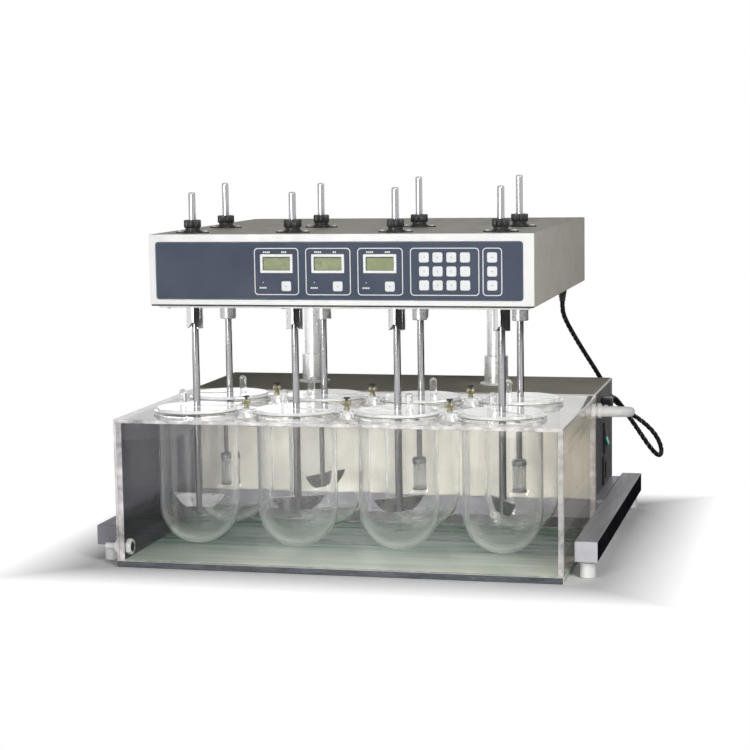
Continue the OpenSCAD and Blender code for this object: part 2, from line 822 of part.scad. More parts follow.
// Mains switch frame, mains inlet and the harness's angled connector on the housing's right face
module side_connectors() {
    color(black) {
        difference() {
            side_body(switch_y, switch_z, switch_w, switch_h);
            rocker_well();
        }
        difference() {
            side_body(inlet_y, inlet_z, inlet_w, inlet_h);
            block([side_x + bezel_t - socket_depth, inlet_y - socket_w / 2, inlet_z - socket_h / 2],
                [side_x + bezel_t + cut, inlet_y + socket_w / 2, inlet_z + socket_h / 2]);
        }
        harness_connector();
    }
}

// Well in the switch's frame, with room for the rocker's ends to swing
module rocker_well() {
    half_w = rocker_w / 2 + free_gap;
    half_h = rocker_h / 2 + rocker_room;
    block([side_x - body_depth / 2, switch_y - half_w, switch_z - half_h],
        [side_x + bezel_t + cut, switch_y + half_w, switch_z + half_h]);
}

// Bezel on the right face with its body through the cut-out
module side_body(y, z, w, h) {
    inner_w = w - 2 * body_margin;
    inner_h = h - 2 * body_margin;
    translate([side_x, y, z]) rotate([90, 0, 90]) linear_extrude(bezel_t)
        rounded_rect(w, h, bezel_corner);
    block([side_x - body_depth, y - inner_w / 2, z - inner_h / 2],
        [side_x, y + inner_w / 2, z + inner_h / 2]);
}

module harness_connector() {
    translate([side_x, plug_y, plug_z]) {
        block([0, -plug_w / 2, -plug_h / 2], [plug_out, plug_w / 2, plug_h / 2]);
        translate([plug_out / 2, plug_w / 2, 0]) rotate([-90, 0, 0])
            cylinder(d1 = plug_nose_d, d2 = plug_nose_tip_d, h = plug_nose_l);
        rotate([0, -90, 0]) cylinder(d = plug_stem_d, h = plug_stem_l);
    }
}

// Rocker with two faces in a shallow V, tipped to its on side
module mains_rocker() {
    half = rocker_h / 2;
    color(switch_green) translate([side_x, switch_y + rocker_w / 2, switch_z]) rotate([90, 0, 0])
        rotate(rocker_tilt) linear_extrude(rocker_w)
            polygon([[-rocker_back, -rocker_back_h], [rocker_rim, -half], [rocker_tip, -half],
                [rocker_middle, 0], [rocker_tip, half], [rocker_rim, half], [-rocker_back, rocker_back_h]]);
}

// Sheet cover of the head: four walls and a top with a folded lip below and a hole for each spindle
module head_cover() {
    half_w = head_w / 2;
    s = head_sheet;
    color(enamel) difference() {
        block([-half_w, head_y0, head_z], [half_w, head_y1, head_top]);
        block([-half_w + s, head_y0 + s, head_z + s], [half_w - s, head_y1 - s, head_top - s]);
        block([-half_w + head_lip, head_y0 + head_lip, head_z - cut],
            [half_w - head_lip, head_y1 - head_lip, head_z + s + cut]);
        for (k = [1:places]) at_place(k) disc(cap_spigot_d + 2 * seat_fit, head_top - s - cut, s + 2 * cut);
        display_holes(head_y0 + s + cut, s + 2 * cut);
    }
}

// Holes for the displays, from depth y forwards
module display_holes(y, t) {
    hole_w = display_w + 2 * seat_fit;
    hole_h = display_h + 2 * seat_fit;
    for (i = [0:display_count - 1])
        front_plate(hole_w, hole_h, display_corner, t, display_at(i), y, display_z);
}

module head_base_plate() {
    inset = base_plate_inset;
    color(enamel) difference() {
        block([-head_w / 2 + inset, head_y0 + inset, base_plate_z],
            [head_w / 2 - inset, head_y1 - inset, head_z]);
        for (k = [1:places]) at_place(k)
            disc(cap_spigot_d + 2 * seat_fit, base_plate_z - cut, base_plate_t + 2 * cut);
        at_columns() disc(column_d + 2 * seat_fit, base_plate_z - cut, base_plate_t + 2 * cut);
        translate([gland_x, gland_y, 0])
            disc(gland_stem_d + 2 * seat_fit, base_plate_z - cut, base_plate_t + 2 * cut);
    }
}

// Membrane film with raised key pads and a window for each display
module control_panel() {
    face_y = head_y0 - panel_t;
    color(panel_blue) {
        difference() {
            front_plate(panel_w, panel_h, panel_corner, panel_t, panel_x, head_y0, panel_z);
            display_holes(head_y0 + cut, panel_t + 2 * cut);
        }
        for (i = [0:display_count - 1]) key(display_at(i) + function_key_dx, face_y, function_key_z);
        for (row = [0:key_rows - 1]) {
            row_z = keypad_z + row * key_pitch;
            for (col = [0:key_columns - 1]) key(keypad_x + col * key_pitch, face_y, row_z);
            key(side_key_x, face_y, row_z);
        }
    }
}

module key(x, y, z) {
    front_plate(key_w, key_w, key_corner, key_t, x, y, z);
}

// Display modules: a bezel that stands proud of the panel, with a sunk window
module displays() {
    face_y = head_y0 - panel_t - bezel_proud;
    back_y = face_y + display_depth;
    window_y = face_y + bezel_step;
    window_w = display_w - 2 * bezel_edge;
    window_h = display_h - 2 * bezel_edge;
    color(display_green) for (i = [0:display_count - 1]) difference() {
        front_plate(display_w, display_h, display_corner, display_depth, display_at(i), back_y, display_z);
        front_plate(window_w, window_h, window_corner, bezel_step + cut, display_at(i), window_y, display_z);
    }
}

// Spindle bearings: a cap with two ears on the head's top and a flanged bush in the base plate
module spindle_bearings() {
    bore = spindle_d + 2 * run_fit;
    color(black) for (k = [1:places]) at_place(k) {
        difference() {
            union() {
                translate([0, 0, head_top]) linear_extrude(cap_t) {
                    circle(d = cap_d);
                    square([cap_screws, cap_web], center = true);
                    for (side = [-1, 1]) translate([side * cap_screws / 2, 0]) circle(r = cap_ear_r);
                }
                disc(cap_spigot_d, head_top - cap_spigot_h, cap_spigot_h);
            }
            disc(bore, head_top - cap_spigot_h - cut, cap_spigot_h + cap_t + 2 * cut);
        }
        difference() {
            union() {
                disc(bush_flange_d, head_z, bush_flange_t);
                disc(cap_spigot_d, base_plate_z, base_plate_t);
            }
            disc(bore, base_plate_z - cut, base_plate_t + bush_flange_t + 2 * cut);
        }
    }
}

module drive_motor() {
    color(black) translate([0, rear_row_y, 0]) difference() {
        union() {
            translate([0, 0, head_z]) linear_extrude(motor_h) rounded_rect(motor_w, motor_w, motor_corner);
            disc(motor_boss_d, head_z + motor_h, motor_boss_h);
        }
        disc(drive_shaft_d + 2 * run_fit, pulley_z - drive_shaft_l, drive_shaft_l);
    }
}

module drive_pulley() {
    color(steel) translate([0, rear_row_y, 0]) {
        disc(pulley_d, pulley_z, pulley_h);
        disc(drive_shaft_d, pulley_z - drive_shaft_l, drive_shaft_l);
    }
}

// Belt round all pulleys: a rounded rectangle about the corner spindles
module belt_outline(r) {
    length = (columns - 1) * pitch_x;
    translate([0, (front_row_y + rear_row_y) / 2]) rounded_rect(length + 2 * r, pitch_y + 2 * r, r);
}

module drive_belt() {
    inner = pulley_d / 2 + free_gap;
    color(black) translate([0, 0, belt_z]) linear_extrude(belt_w) difference() {
        belt_outline(inner + belt_t);
        belt_outline(inner);
    }
}

module harness_gland() {
    color(black) translate([gland_x, gland_y, 0]) {
        disc(gland_stem_d, base_plate_z, base_plate_t);
        translate([0, 0, base_plate_z - gland_nut_t]) cylinder(d = gland_d, h = gland_nut_t, $fn = 6);
        translate([0, 0, gland_z0]) cylinder(d1 = gland_boot_d1, d2 = gland_boot_d2, h = gland_boot_l);
    }
}

// Spindle: hub with its drive notch, bearing journal, pulley and neck, bored for the shaft
module spindle(k) {
    color(steel) at_place(k) difference() {
        rotate_extrude() difference() {
            union() {
                half_profile(hub_d, hub_z0, hub_z1);
                half_profile(spindle_d, hub_z1, cap_z1);
                half_profile(pulley_d, pulley_z, pulley_z + pulley_h);
                half_profile(neck_d, cap_z1, neck_z1);
            }
            half_profile(rod_bore_d, hub_z0 - cut, neck_z1 + cut);
        }
        rotate(notch_angles[k - 1]) translate([0, -notch_back, hub_z0]) rotate([90, 0, 0])
            linear_extrude(hub_d) polygon([[-notch_foot, -cut], [0, notch_h], [notch_foot, -cut]]);
    }
}

// Half of a turned step's section, to be revolved
module half_profile(d, z0, z1) {
    translate([0, z0]) square([d / 2, z1 - z0]);
}

// Chuck: lobed knob that screws down on the spindle's neck and grips the shaft
module chuck(k) {
    color(black) at_place(k) difference() {
        translate([0, 0, knob_z0]) linear_extrude(knob_h) lobed(knob_d, knob_lobe_r, knob_lobes);
        disc(neck_d + 2 * run_fit, knob_z0 - cut, neck_z1 + free_gap - knob_z0 + cut);
        disc(rod_d + 2 * free_gap, knob_z0, knob_h + cut);
    }
}

// Shaft with its paddle or basket
module rod(k) {
    z = tool_z(k);
    l = rod_l + rod_extras[k - 1];
    color(steel) at_place(k) {
        if (has_basket[k - 1]) {
            basket(z);
            disc(rod_d, z + basket_h, l - basket_h);
        } else {
            disc(rod_d, z, l);
            rotate(blade_angles[k - 1]) paddle(z);
        }
    }
}

// Blade: a slice of a disc that is wide above and narrow below
module paddle(z) {
    chord = sqrt(blade_r ^ 2 - (blade_w / 2) ^ 2);
    translate([0, blade_t / 2, z + blade_h + chord]) rotate([90, 0, 0]) linear_extrude(blade_t)
        intersection() {
            circle(r = blade_r);
            translate([-blade_r, -chord - blade_h]) square([2 * blade_r, blade_h]);
        }
}

// Drum with open slots between two rings, under a solid cap
module basket(z) {
    ring_d = basket_d + 2 * basket_ring;
    slot_z = z + basket_slot_inset;
    slot_z1 = z + basket_h - basket_slot_inset;
    disc(ring_d, z + basket_h, basket_cap_h);
    difference() {
        union() {
            disc(basket_d, z, basket_h);
            disc(ring_d, z, basket_ring_h);
        }
        disc(basket_d - 2 * basket_wall, z + basket_wall, basket_h - basket_wall);
        for (i = [0:basket_slots - 1]) rotate(360 * i / basket_slots)
            block([0, -basket_slot_w / 2, slot_z], [basket_d, basket_slot_w / 2, slot_z1]);
    }
}

// Cover: a disc on the rim with a step inside it, a slot for the shaft and a peg handle
module cover(k) {
    slot_z0 = cover_z - cover_step - cut;
    slot_z1 = cover_z + cover_t + cut;
    color(clear_acrylic) at_place(k) rotate(peg_angles[k - 1]) {
        difference() {
            union() {
                disc(cover_d, cover_z, cover_t);
                disc(cover_step_d, cover_z - cover_step, cover_step);
            }
            disc(cover_slot, slot_z0, slot_z1 - slot_z0);
            block([-cover_d, -cover_slot / 2, slot_z0], [0, cover_slot / 2, slot_z1]);
        }
        translate([peg_offset, 0, cover_z + cover_t]) {
            cylinder(d = peg_d, h = peg_h - peg_d / 2);
            translate([0, 0, peg_h - peg_d / 2]) sphere(d = peg_d);
        }
    }
}

side_rails();
cross_frame();
levelling_feet();
rear_housing();
column_sleeves();
circulation_heater();
water_bath();
bath_plate();
vessels();
hold_down_clamps();
bulkhead_fittings();
hose();
side_connectors();
mains_rocker();
harness();
head_cover();
head_base_plate();
control_panel();
displays();
spindle_bearings();
drive_motor();
drive_belt();
drive_pulley();
lift_columns();
lift_motors();
lift_screw(-1);  // lift_screw_left
lift_screw(1);  // lift_screw_right
harness_gland();
for (k = [1:places]) {
    spindle(k);
    chuck(k);
    rod(k);
    cover(k);
}
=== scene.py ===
import math
from itertools import accumulate

import bmesh
import bpy
from mathutils import Matrix, Vector


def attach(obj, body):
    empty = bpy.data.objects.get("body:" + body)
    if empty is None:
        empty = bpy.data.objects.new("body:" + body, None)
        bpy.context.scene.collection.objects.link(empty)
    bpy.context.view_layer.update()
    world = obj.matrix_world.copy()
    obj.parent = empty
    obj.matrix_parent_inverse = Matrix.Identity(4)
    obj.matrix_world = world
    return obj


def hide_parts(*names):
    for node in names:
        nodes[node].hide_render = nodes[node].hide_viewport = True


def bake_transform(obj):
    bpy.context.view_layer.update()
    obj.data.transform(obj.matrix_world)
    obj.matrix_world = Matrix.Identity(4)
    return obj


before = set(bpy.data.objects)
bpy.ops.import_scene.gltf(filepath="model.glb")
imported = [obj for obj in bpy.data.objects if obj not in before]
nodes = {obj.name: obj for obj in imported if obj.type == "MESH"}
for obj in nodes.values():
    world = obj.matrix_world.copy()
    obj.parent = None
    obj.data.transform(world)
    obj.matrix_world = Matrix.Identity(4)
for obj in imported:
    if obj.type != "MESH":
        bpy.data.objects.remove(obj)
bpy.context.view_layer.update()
scene = bpy.context.scene

# Shapes are written in millimetres, in the part's frame, and scaled when a piece is made.
MM = 0.001

# Sizes and places, most of them also in the part's source
BATH_W, BATH_Y0, BATH_Y1, BATH_H, BATH_T, PLATE_T = 603, -276.25, 44.25, 200, 8, 5
DRAIN_Y, DRAIN_Z, OUTLET_Y, OUTLET_Z = -256.25, 24, 0, 183
ROW_X, FRONT_Y, REAR_Y = (-210, -70, 70, 210), -197.25, -53.25
VESSEL_Z, VESSEL_R, VESSEL_WALL, RIM_R, RIM_Z = 21, 53.5, 2.5, 59, 205
HOUSING_X, HOUSING_Y0, HOUSING_Y1, HOUSING_Z1 = 300, 44.75, 244.75, 201
DECK_Z, SHEET_T = 50, 2
PORT_Y, PORT_Z = 66, 175
SWITCH_Y, SWITCH_Z, INLET_Y, INLET_Z, PLUG_Y, PLUG_Z = 146.75, 125, 138.75, 77, 117, 180
HEAD_X, HEAD_Y0, HEAD_Y1, HEAD_Z, HEAD_TOP = 259, -234.25, 242.75, 348, 443.5
BASE_Z = 345
GLAND_X, GLAND_Y = 235, 174
COLUMN_X, COLUMN_Y, COLUMN_R = 140, 144.75, 14
RAIL_X0, RAIL_X1, RAIL_Y0, RAIL_Y1, RAIL_Z0 = 311, 341, -247.25, 276.25, 23
RAIL_MID, RAIL_END, FOOT_INSET = (RAIL_X0 + RAIL_X1) / 2, 2, 18
PANEL_X, PANEL_Z, PANEL_W, PANEL_H, FILM_T = -2.5, 395.25, 495, 76.5, 1.2
DISPLAY_X, DISPLAY_Z = (-82.3, -12.5, 57.3), 404.8
COVER_Z, COVER_TOP, PEG_OUT, PEG_R, PEG_Z = 203.05, 209, 19, 5, 228
CAP_Z, CAP_R, EAR_X, EAR_R = 445.2, 15, 18, 5.5
JOURNAL_R, NECK_R, BORE_R, HUB_Z = 9, 7.5, 4.93, 315.1
ROD_R, ROD_L, FRONT_TOOL_Z, REAR_TOOL_Z = 4.875, 430, 70, 77

# One value for each place: the front row from the left, then the rear row
PEG_ANGLES = (205, 160, -25, 140, 10, 180, 40, 165)
BLADE_ANGLES = (0, 30, 42, -57, 0, 60, 0, 0)
NOTCH_ANGLES = (2, 8, -6, 4, 120, 75, 100, 140)
TOOL_RISES = (0, 0, 2.5, 3.5, 0, 0, 0, 0)
ROD_EXTRAS = (-2, -2.5, 0, 0, 0, -1.5, 6, 7)
BASKETS = (5, 7, 8)
PLACES = [(k, ROW_X[(k - 1) % 4], FRONT_Y if k <= 4 else REAR_Y) for k in range(1, 9)]
SPOTS = [(x, y) for k, x, y in PLACES]
CLAMPS = [(x, y) for x in (-140, 0, 140) for y in (FRONT_Y, REAR_Y)]
COLUMNS = [(-COLUMN_X, COLUMN_Y), (COLUMN_X, COLUMN_Y)]
FEET = [(x, y) for x in (-RAIL_MID, RAIL_MID) for y in (RAIL_Y0 + FOOT_INSET, RAIL_Y1 - FOOT_INSET)]


def turned(degrees, axis):
    return Matrix.Rotation(math.radians(degrees), 4, axis)


# Where a form's own +Z points once it is placed
FRONTWARDS, BACKWARDS, DOWNWARDS = turned(90, "X"), turned(-90, "X"), turned(180, "X")
RIGHTWARDS, LEFTWARDS = turned(90, "Y"), turned(-90, "Y")
ON_RIGHT_FACE = RIGHTWARDS @ turned(90, "Z")


# Flat outlines

def fillet(points, radius, steps=5, closed=True):
    """The outline with each corner rounded; a third number on a point is that corner's own radius."""
    out = []
    for i, point in enumerate(points):
        p = Vector(point[:2])
        r = point[2] if len(point) > 2 else radius
        if r <= 0 or (not closed and i in (0, len(points) - 1)):
            out.append((p.x, p.y))
            continue
        a = Vector(points[i - 1][:2]) - p
        b = Vector(points[(i + 1) % len(points)][:2]) - p
        half = a.angle(b) / 2
        if half > math.pi / 2 - 0.01:
            out.append((p.x, p.y))
            continue
        reach = min(r / math.tan(half), 0.49 * a.length, 0.49 * b.length)
        centre = p + (a.normalized() + b.normalized()).normalized() * (reach / math.cos(half))
        first = p + a.normalized() * reach - centre
        last = p + b.normalized() * reach - centre
        turn = math.atan2(first.x * last.y - first.y * last.x, first.dot(last))
        for s in range(steps + 1):
            v = Matrix.Rotation(turn * s / steps, 2) @ first
            out.append((centre.x + v.x, centre.y + v.y))
    return out


def rect(w, h, r, steps=5, x=0, y=0):
    """A rectangle about (x, y) with round corners."""
    signs = ((-1, -1), (1, -1), (1, 1), (-1, 1))
    return fillet([(x + w / 2 * a, y + h / 2 * b) for a, b in signs], r, steps)


def circle(r, n=48):
    return [(r * math.cos(2 * math.pi * i / n), r * math.sin(2 * math.pi * i / n)) for i in range(n)]


def arc(r, start, end, steps, x=0, y=0):
    """Points on an arc about (x, y), both ends included; angles in radians."""
    angles = [start + (end - start) * s / steps for s in range(steps + 1)]
    return [(x + r * math.cos(a), y + r * math.sin(a)) for a in angles]


def lobed(d, lobe_r, count, n):
    """Round knob outline with lobes and slightly deeper hollows between them."""
    wave = lobe_r * 0.28
    out = []
    for i in range(count * n):
        t = 2 * math.pi * i / (count * n)
        c = math.cos(count * t)
        r = d / 2 - wave + wave * (c if c > 0 else 1.15 * c)
        out.append((r * math.cos(t), r * math.sin(t)))
    return out


def held_runs(profile, reach=0.4):
    """Adds points near both ends of each long straight run of a profile, so that it shades evenly."""
    points = [profile[0]]
    for a, b in zip(profile, profile[1:]):
        run = math.dist(a, b)
        if run > 6 * reach:
            points += [tuple(p + (q - p) * t for p, q in zip(a, b)) for t in (reach / run, 1 - reach / run)]
        points.append(b)
    return points


def inset(outline, d):
    """The outline moved inwards by d; outlines run anticlockwise."""
    if not d:
        return list(outline)
    out = []
    for i, p in enumerate(outline):
        a, b = Vector(outline[i - 1]), Vector(outline[(i + 1) % len(outline)])
        t = (b - a).normalized()
        out.append((p[0] - t.y * d, p[1] + t.x * d))
    return out


# Meshes

class Shape:
    """A mesh in the making. self.place puts what is added next where it belongs."""

    def __init__(self, *materials):
        self.bm = bmesh.new()
        self.materials = materials
        self.place = Matrix.Identity(4)

    def at(self, x=0, y=0, z=0, turn=0, then=Matrix.Identity(4)):
        self.place = Matrix.Translation((x, y, z)) @ turned(turn, "Z") @ then
        return self

    def ring(self, points):
        return [self.bm.verts.new(self.place @ Vector(p)) for p in points]

    def level(self, outline, z):
        return self.ring([(x, y, z) for x, y in outline])

    def face(self, verts, mat, smooth=True):
        f = self.bm.faces.new(verts)
        f.material_index = mat
        f.smooth = smooth

    def ends(self, rings, mat=0, smooth=True):
        """Faces that close the first and the last ring."""
        self.face(rings[0][::-1], mat, smooth)
        self.face(rings[-1], mat, smooth)

    def skin(self, rings, mat, loop=False):
        """Faces between rings; a ring of one point is a pole."""
        for a, b in zip(rings, rings[1:] + rings[:1] if loop else rings[1:]):
            n = max(len(a), len(b))
            for i in range(n):
                j = (i + 1) % n
                if len(a) == 1:
                    self.face([a[0], b[i], b[j]], mat)
                elif len(b) == 1:
                    self.face([a[i], a[j], b[0]], mat)
                else:
                    self.face([a[i], a[j], b[j], b[i]], mat)

    def lathe(self, profile, mat=0, n=64, loop=False):
        """A turned form from (radius, height) points; a point on the axis is a pole."""
        rings = [self.ring([(0, 0, z)]) if r < 1e-6 else self.level(circle(r, n), z)
                 for r, z in held_runs(profile)]
        self.skin(rings, mat, loop)
        return self

    def pin(self, r, z0, z1, mat=0, n=24):
        return self.lathe([(0, z0), (r, z0), (r, z1), (0, z1)], mat, n)

    def hoop(self, r0, r1, z0, z1, ease=0.0, steps=3, mat=0, n=48):
        """A turned ring with eased edges."""
        return self.lathe(fillet([(r0, z0), (r1, z0), (r1, z1), (r0, z1)], ease, steps), mat, n, loop=True)

    def prism(self, outline, z0, z1, bevel=0.0, mat=0):
        """An outline raised from z0 to z1, its edges eased by bevel."""
        levels = [(0, z0), (0, z1)]
        if bevel:
            soft = bevel * 0.3
            levels = [(bevel, z0), (soft, z0 + soft), (0, z0 + bevel),
                      (0, z1 - bevel), (soft, z1 - soft), (bevel, z1)]
        rings = [self.level(inset(outline, d), z) for d, z in levels]
        self.skin(rings, mat)
        self.ends(rings, mat, False)
        return self

    def bores(self, places, r, z0, z1, n=48):
        """Upright round rods at places (x, y), to cut with."""
        for x, y in places:
            self.at(x, y).prism(circle(r, n), z0, z1)
        return self

    def border(self, outer, inner, z0, z1):
        """A flat band between two outlines with the same count of points."""
        rings = [self.level(o, z) for o, z in ((outer, z0), (outer, z1), (inner, z1), (inner, z0))]
        self.skin(rings, 0, loop=True)
        return self

    def box(self, low, high, bevel=0.0, mat=0, segments=2):
        low, high = Vector(low), Vector(high)
        move = self.place @ Matrix.Translation((low + high) / 2) @ Matrix.Diagonal((*(high - low), 1))
        before = set(self.bm.faces)
        made = bmesh.ops.create_cube(self.bm, size=1, matrix=move)
        if bevel:
            edges = list({e for v in made["verts"] for e in v.link_edges})
            bmesh.ops.bevel(self.bm, geom=edges, offset=bevel, segments=segments,
                            affect="EDGES", profile=0.5, clamp_overlap=True)
        turn = self.place.to_3x3().inverted()
        for f in set(self.bm.faces) - before:
            f.material_index = mat
            f.normal_update()
            f.smooth = max(abs(c) for c in turn @ f.normal) < 0.999
        return self

    def tube(self, path, radius, n=16, mat=0):
        """A round tube along points, with flat ends; radius may be a number or one for each point."""
        points = [Vector(p) for p in path]
        radii = radius if hasattr(radius, "__len__") else [radius] * len(points)
        rings = [self.ring([p + u * x + v * y for x, y in circle(r, n)])
                 for p, r, (u, v) in zip(points, radii, frames_along(points))]
        self.skin(rings, mat)
        self.ends(rings, mat)
        return self

    def finish(self, name, body, *stands_for, slot=None, sharp=35, cut=(), paint=None):
        """Makes the piece, cuts it, paints each face by place and direction, puts it on its body and hides
        the CAD parts it stands for.
        """
        bmesh.ops.recalc_face_normals(self.bm, faces=self.bm.faces[:])
        bmesh.ops.scale(self.bm, vec=(MM, MM, MM), verts=self.bm.verts[:])
        mesh = bpy.data.meshes.new(name)
        self.bm.to_mesh(mesh)
        self.bm.free()
        for m in self.materials:
            mesh.materials.append(m)
        obj = show(name, mesh)
        for tool in cut:
            carve(obj, tool)
        faces = obj.data.polygons
        if paint:
            for f in faces:
                f.material_index = paint(f.center / MM, f.normal)
        smooth = [f.use_smooth for f in faces]
        obj.data.set_sharp_from_angle(angle=math.radians(sharp))
        obj.data.polygons.foreach_set("use_smooth", smooth)
        if body:
            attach(obj, body)
        if stands_for:
            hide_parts(*stands_for)
        return obj


def show(name, data):
    obj = bpy.data.objects.new(name, data)
    scene.collection.objects.link(obj)
    return obj


def frames_along(points):
    """Two directions across a path at each of its points, turned as little as possible on the way."""
    out = []
    u = None
    for i in range(len(points)):
        t = (points[min(i + 1, len(points) - 1)] - points[max(i - 1, 0)]).normalized()
        if u is None:
            u = t.orthogonal().normalized()
        u = (u - t * u.dot(t)).normalized()
        out.append((u, t.cross(u)))
    return out


def carve(obj, tool_shape):
    """Takes a shape away from a piece."""
    tool = tool_shape.finish(obj.name + "_tool", None)
    cutter = obj.modifiers.new("cut", "BOOLEAN")
    cutter.object, cutter.operation, cutter.solver = tool, "DIFFERENCE", "EXACT"
    done = bpy.data.meshes.new_from_object(obj.evaluated_get(bpy.context.evaluated_depsgraph_get()))
    obj.modifiers.clear()
    spent = [obj.data, tool.data]
    obj.data = done
    bpy.data.objects.remove(tool)
    for mesh in spent:
        bpy.data.meshes.remove(mesh)


# Materials

EVEN = (1, 1, 1)
WHITE = (1, 1, 1, 1)
MILK = (0.92, 0.93, 0.92, 1)


def put(tree, node, values):
    """Sets a node's inputs, by name or number, to plain values or links them to sockets."""
    for key, value in values.items():
        if hasattr(value, "is_linked"):
            tree.links.new(value, node.inputs[key])
        else:
            node.inputs[key].default_value = value
    return node


def add(tree, kind, values=None):
    return put(tree, tree.nodes.new("ShaderNode" + kind), values or {})


def material(name):
    made = bpy.data.materials.new(name)
    made.use_nodes = True
    return made, made.node_tree, made.node_tree.nodes["Principled BSDF"]


def scaled(color, factor):
    return tuple(min(1.0, c * factor) for c in color) + (1,)


def noise(tree, coords, size, detail=4, rough=0.55):
    values = {"Vector": coords, "Scale": 1 / size, "Detail": detail, "Roughness": rough}
    return add(tree, "TexNoise", values).outputs[0]


def spread(tree, value, low, high, start=0.3, end=0.7):
    """Stretches a value's range from start to end over low to high."""
    values = {"Value": value, "From Min": start, "From Max": end, "To Min": low, "To Max": high}
    return add(tree, "MapRange", values).outputs[0]


def blend_colors(tree, factor, a, b):
    mix = tree.nodes.new("ShaderNodeMix")
    mix.data_type = "RGBA"
    return put(tree, mix, {0: factor, 6: a, 7: b}).outputs[2]


def combine(tree, operation, a, b):
    """The outcome of an operation on two numbers or sockets."""
    math_node = tree.nodes.new("ShaderNodeMath")
    math_node.operation = operation
    return put(tree, math_node, {0: a, 1: b}).outputs[0]


def mix_shaders(tree, factor, a, b):
    return add(tree, "MixShader", {0: factor, 1: a, 2: b}).outputs[0]


def coordinates(tree, stretch=EVEN):
    coords = add(tree, "TexCoord").outputs["Object"]
    if stretch == EVEN:
        return coords
    return add(tree, "Mapping", {"Vector": coords, "Scale": stretch}).outputs["Vector"]


def emboss(tree, shader, height, strength, depth):
    bump = add(tree, "Bump", {"Height": height, "Strength": strength, "Distance": depth})
    put(tree, shader, {"Normal": bump.outputs["Normal"]})


def surface(name, color, rough, metal=0.0, vary=0.07, size=0.03, stretch=EVEN, spots=None,
            grain=0.0, grain_size=0.0012, glow=None, gloss=0.5):
    """An opaque finish: blotches of shade, uneven gloss and a fine relief."""
    made, tree, shader = material(name)
    coords = coordinates(tree, stretch)
    cloud = spread(tree, noise(tree, coords, size), 0, 1)
    shade = blend_colors(tree, cloud, scaled(color, 1 - vary), scaled(color, 1 + vary))
    if spots:
        spot_color, spot_size, share = spots
        dots = spread(tree, noise(tree, coords, spot_size, 2), 0, 1, share, share + 0.06)
        shade = blend_colors(tree, dots, shade, (*spot_color, 1))
    wear = spread(tree, noise(tree, coords, size * 0.35, 6), rough * 0.8, min(1, rough * 1.25))
    put(tree, shader, {"Base Color": shade, "Roughness": wear, "Metallic": metal,
                       "Specular IOR Level": gloss})
    if grain:
        emboss(tree, shader, noise(tree, coords, grain_size, 3), grain, 0.0004)
    if glow:
        put(tree, shader, {"Emission Color": (*color, 1), "Emission Strength": glow})
    return made


def clear_solid(name, tint, ior, haze, rough=0.0, relief=0.0, rim=0.0):
    """Glass that bends light, lets lamps through and is a little milky, with more milk at its rims as painted
    highlight.
    """
    made, tree, shader = material(name)
    put(tree, shader, {"Base Color": (*tint, 1), "Transmission Weight": 1, "IOR": ior, "Roughness": rough})
    coords = coordinates(tree)
    if relief:
        emboss(tree, shader, noise(tree, coords, 0.03, 2), relief, 0.001)
    milk = add(tree, "BsdfPrincipled", {"Base Color": MILK, "Roughness": 0.35})
    share = spread(tree, noise(tree, coords, 0.02, 5), haze * 0.6, haze * 1.4)
    # Milk at grazing slants, strongest at the rims: painted highlight
    slant = add(tree, "LayerWeight").outputs["Facing"]
    rim_highlight = combine(tree, "MULTIPLY", combine(tree, "POWER", slant, 4), rim)
    clear = mix_shaders(tree, combine(tree, "ADD", share, rim_highlight), shader.outputs[0], milk.outputs[0])
    through = add(tree, "BsdfTransparent", {"Color": (*tint, 1)})
    shadow = add(tree, "LightPath").outputs["Is Shadow Ray"]
    shown = mix_shaders(tree, shadow, clear, through.outputs[0])
    put(tree, tree.nodes["Material Output"], {"Surface": shown})
    return made


def clear_sheet(name, tint, haze, haze_color=(0.9, 0.9, 0.88), rough=0.03, cloud=0.05, ior=1.49):
    """A flat clear sheet: what is behind shows unbent, with gloss at a slant and a faint uneven haze."""
    made, tree, shader = material(name)
    put(tree, shader, {"Base Color": (*haze_color, 1), "Roughness": rough})
    through = add(tree, "BsdfTransparent", {"Color": (*tint, 1)})
    gloss = add(tree, "BsdfGlossy", {"Roughness": rough})
    slant = add(tree, "Fresnel", {"IOR": ior})
    entering = combine(tree, "SUBTRACT", 1, add(tree, "NewGeometry").outputs["Backfacing"])
    mirrored = combine(tree, "MULTIPLY", slant.outputs[0], entering)
    share = spread(tree, noise(tree, coordinates(tree), cloud, 5), haze * 0.3, haze * 1.7)
    body = mix_shaders(tree, share, through.outputs[0], shader.outputs[0])
    shown = mix_shaders(tree, mirrored, body, gloss.outputs[0])
    put(tree, tree.nodes["Material Output"], {"Surface": shown})
    return made


def bath_bottom_painted_light_and_shade(name):
    """Green tinted sheet with darker streaks along it, paler at the front as painted light and darker towards
    the back as painted shade.
    """
    made = surface(name, (0.48, 0.62, 0.48), 0.12, gloss=0.3)
    tree = made.node_tree
    across = add(tree, "SeparateXYZ", {0: coordinates(tree)})
    # Painted light at the front and painted shade towards the back, by place along Y
    depth = spread(tree, across.outputs["Y"], 0, 1, -0.27, -0.14)
    streaks = noise(tree, coordinates(tree, (0.6, 9, 1)), 0.16, 5, 0.65)
    lines = spread(tree, streaks, 0, 1, 0.38, 0.62)
    front = blend_colors(tree, lines, (0.92, 0.97, 0.88, 1), (0.72, 0.86, 0.72, 1))
    back = blend_colors(tree, lines, (0.20, 0.29, 0.235, 1), (0.075, 0.125, 0.10, 1))
    put(tree, tree.nodes["Principled BSDF"], {"Base Color": blend_colors(tree, depth, front, back)})
    return made


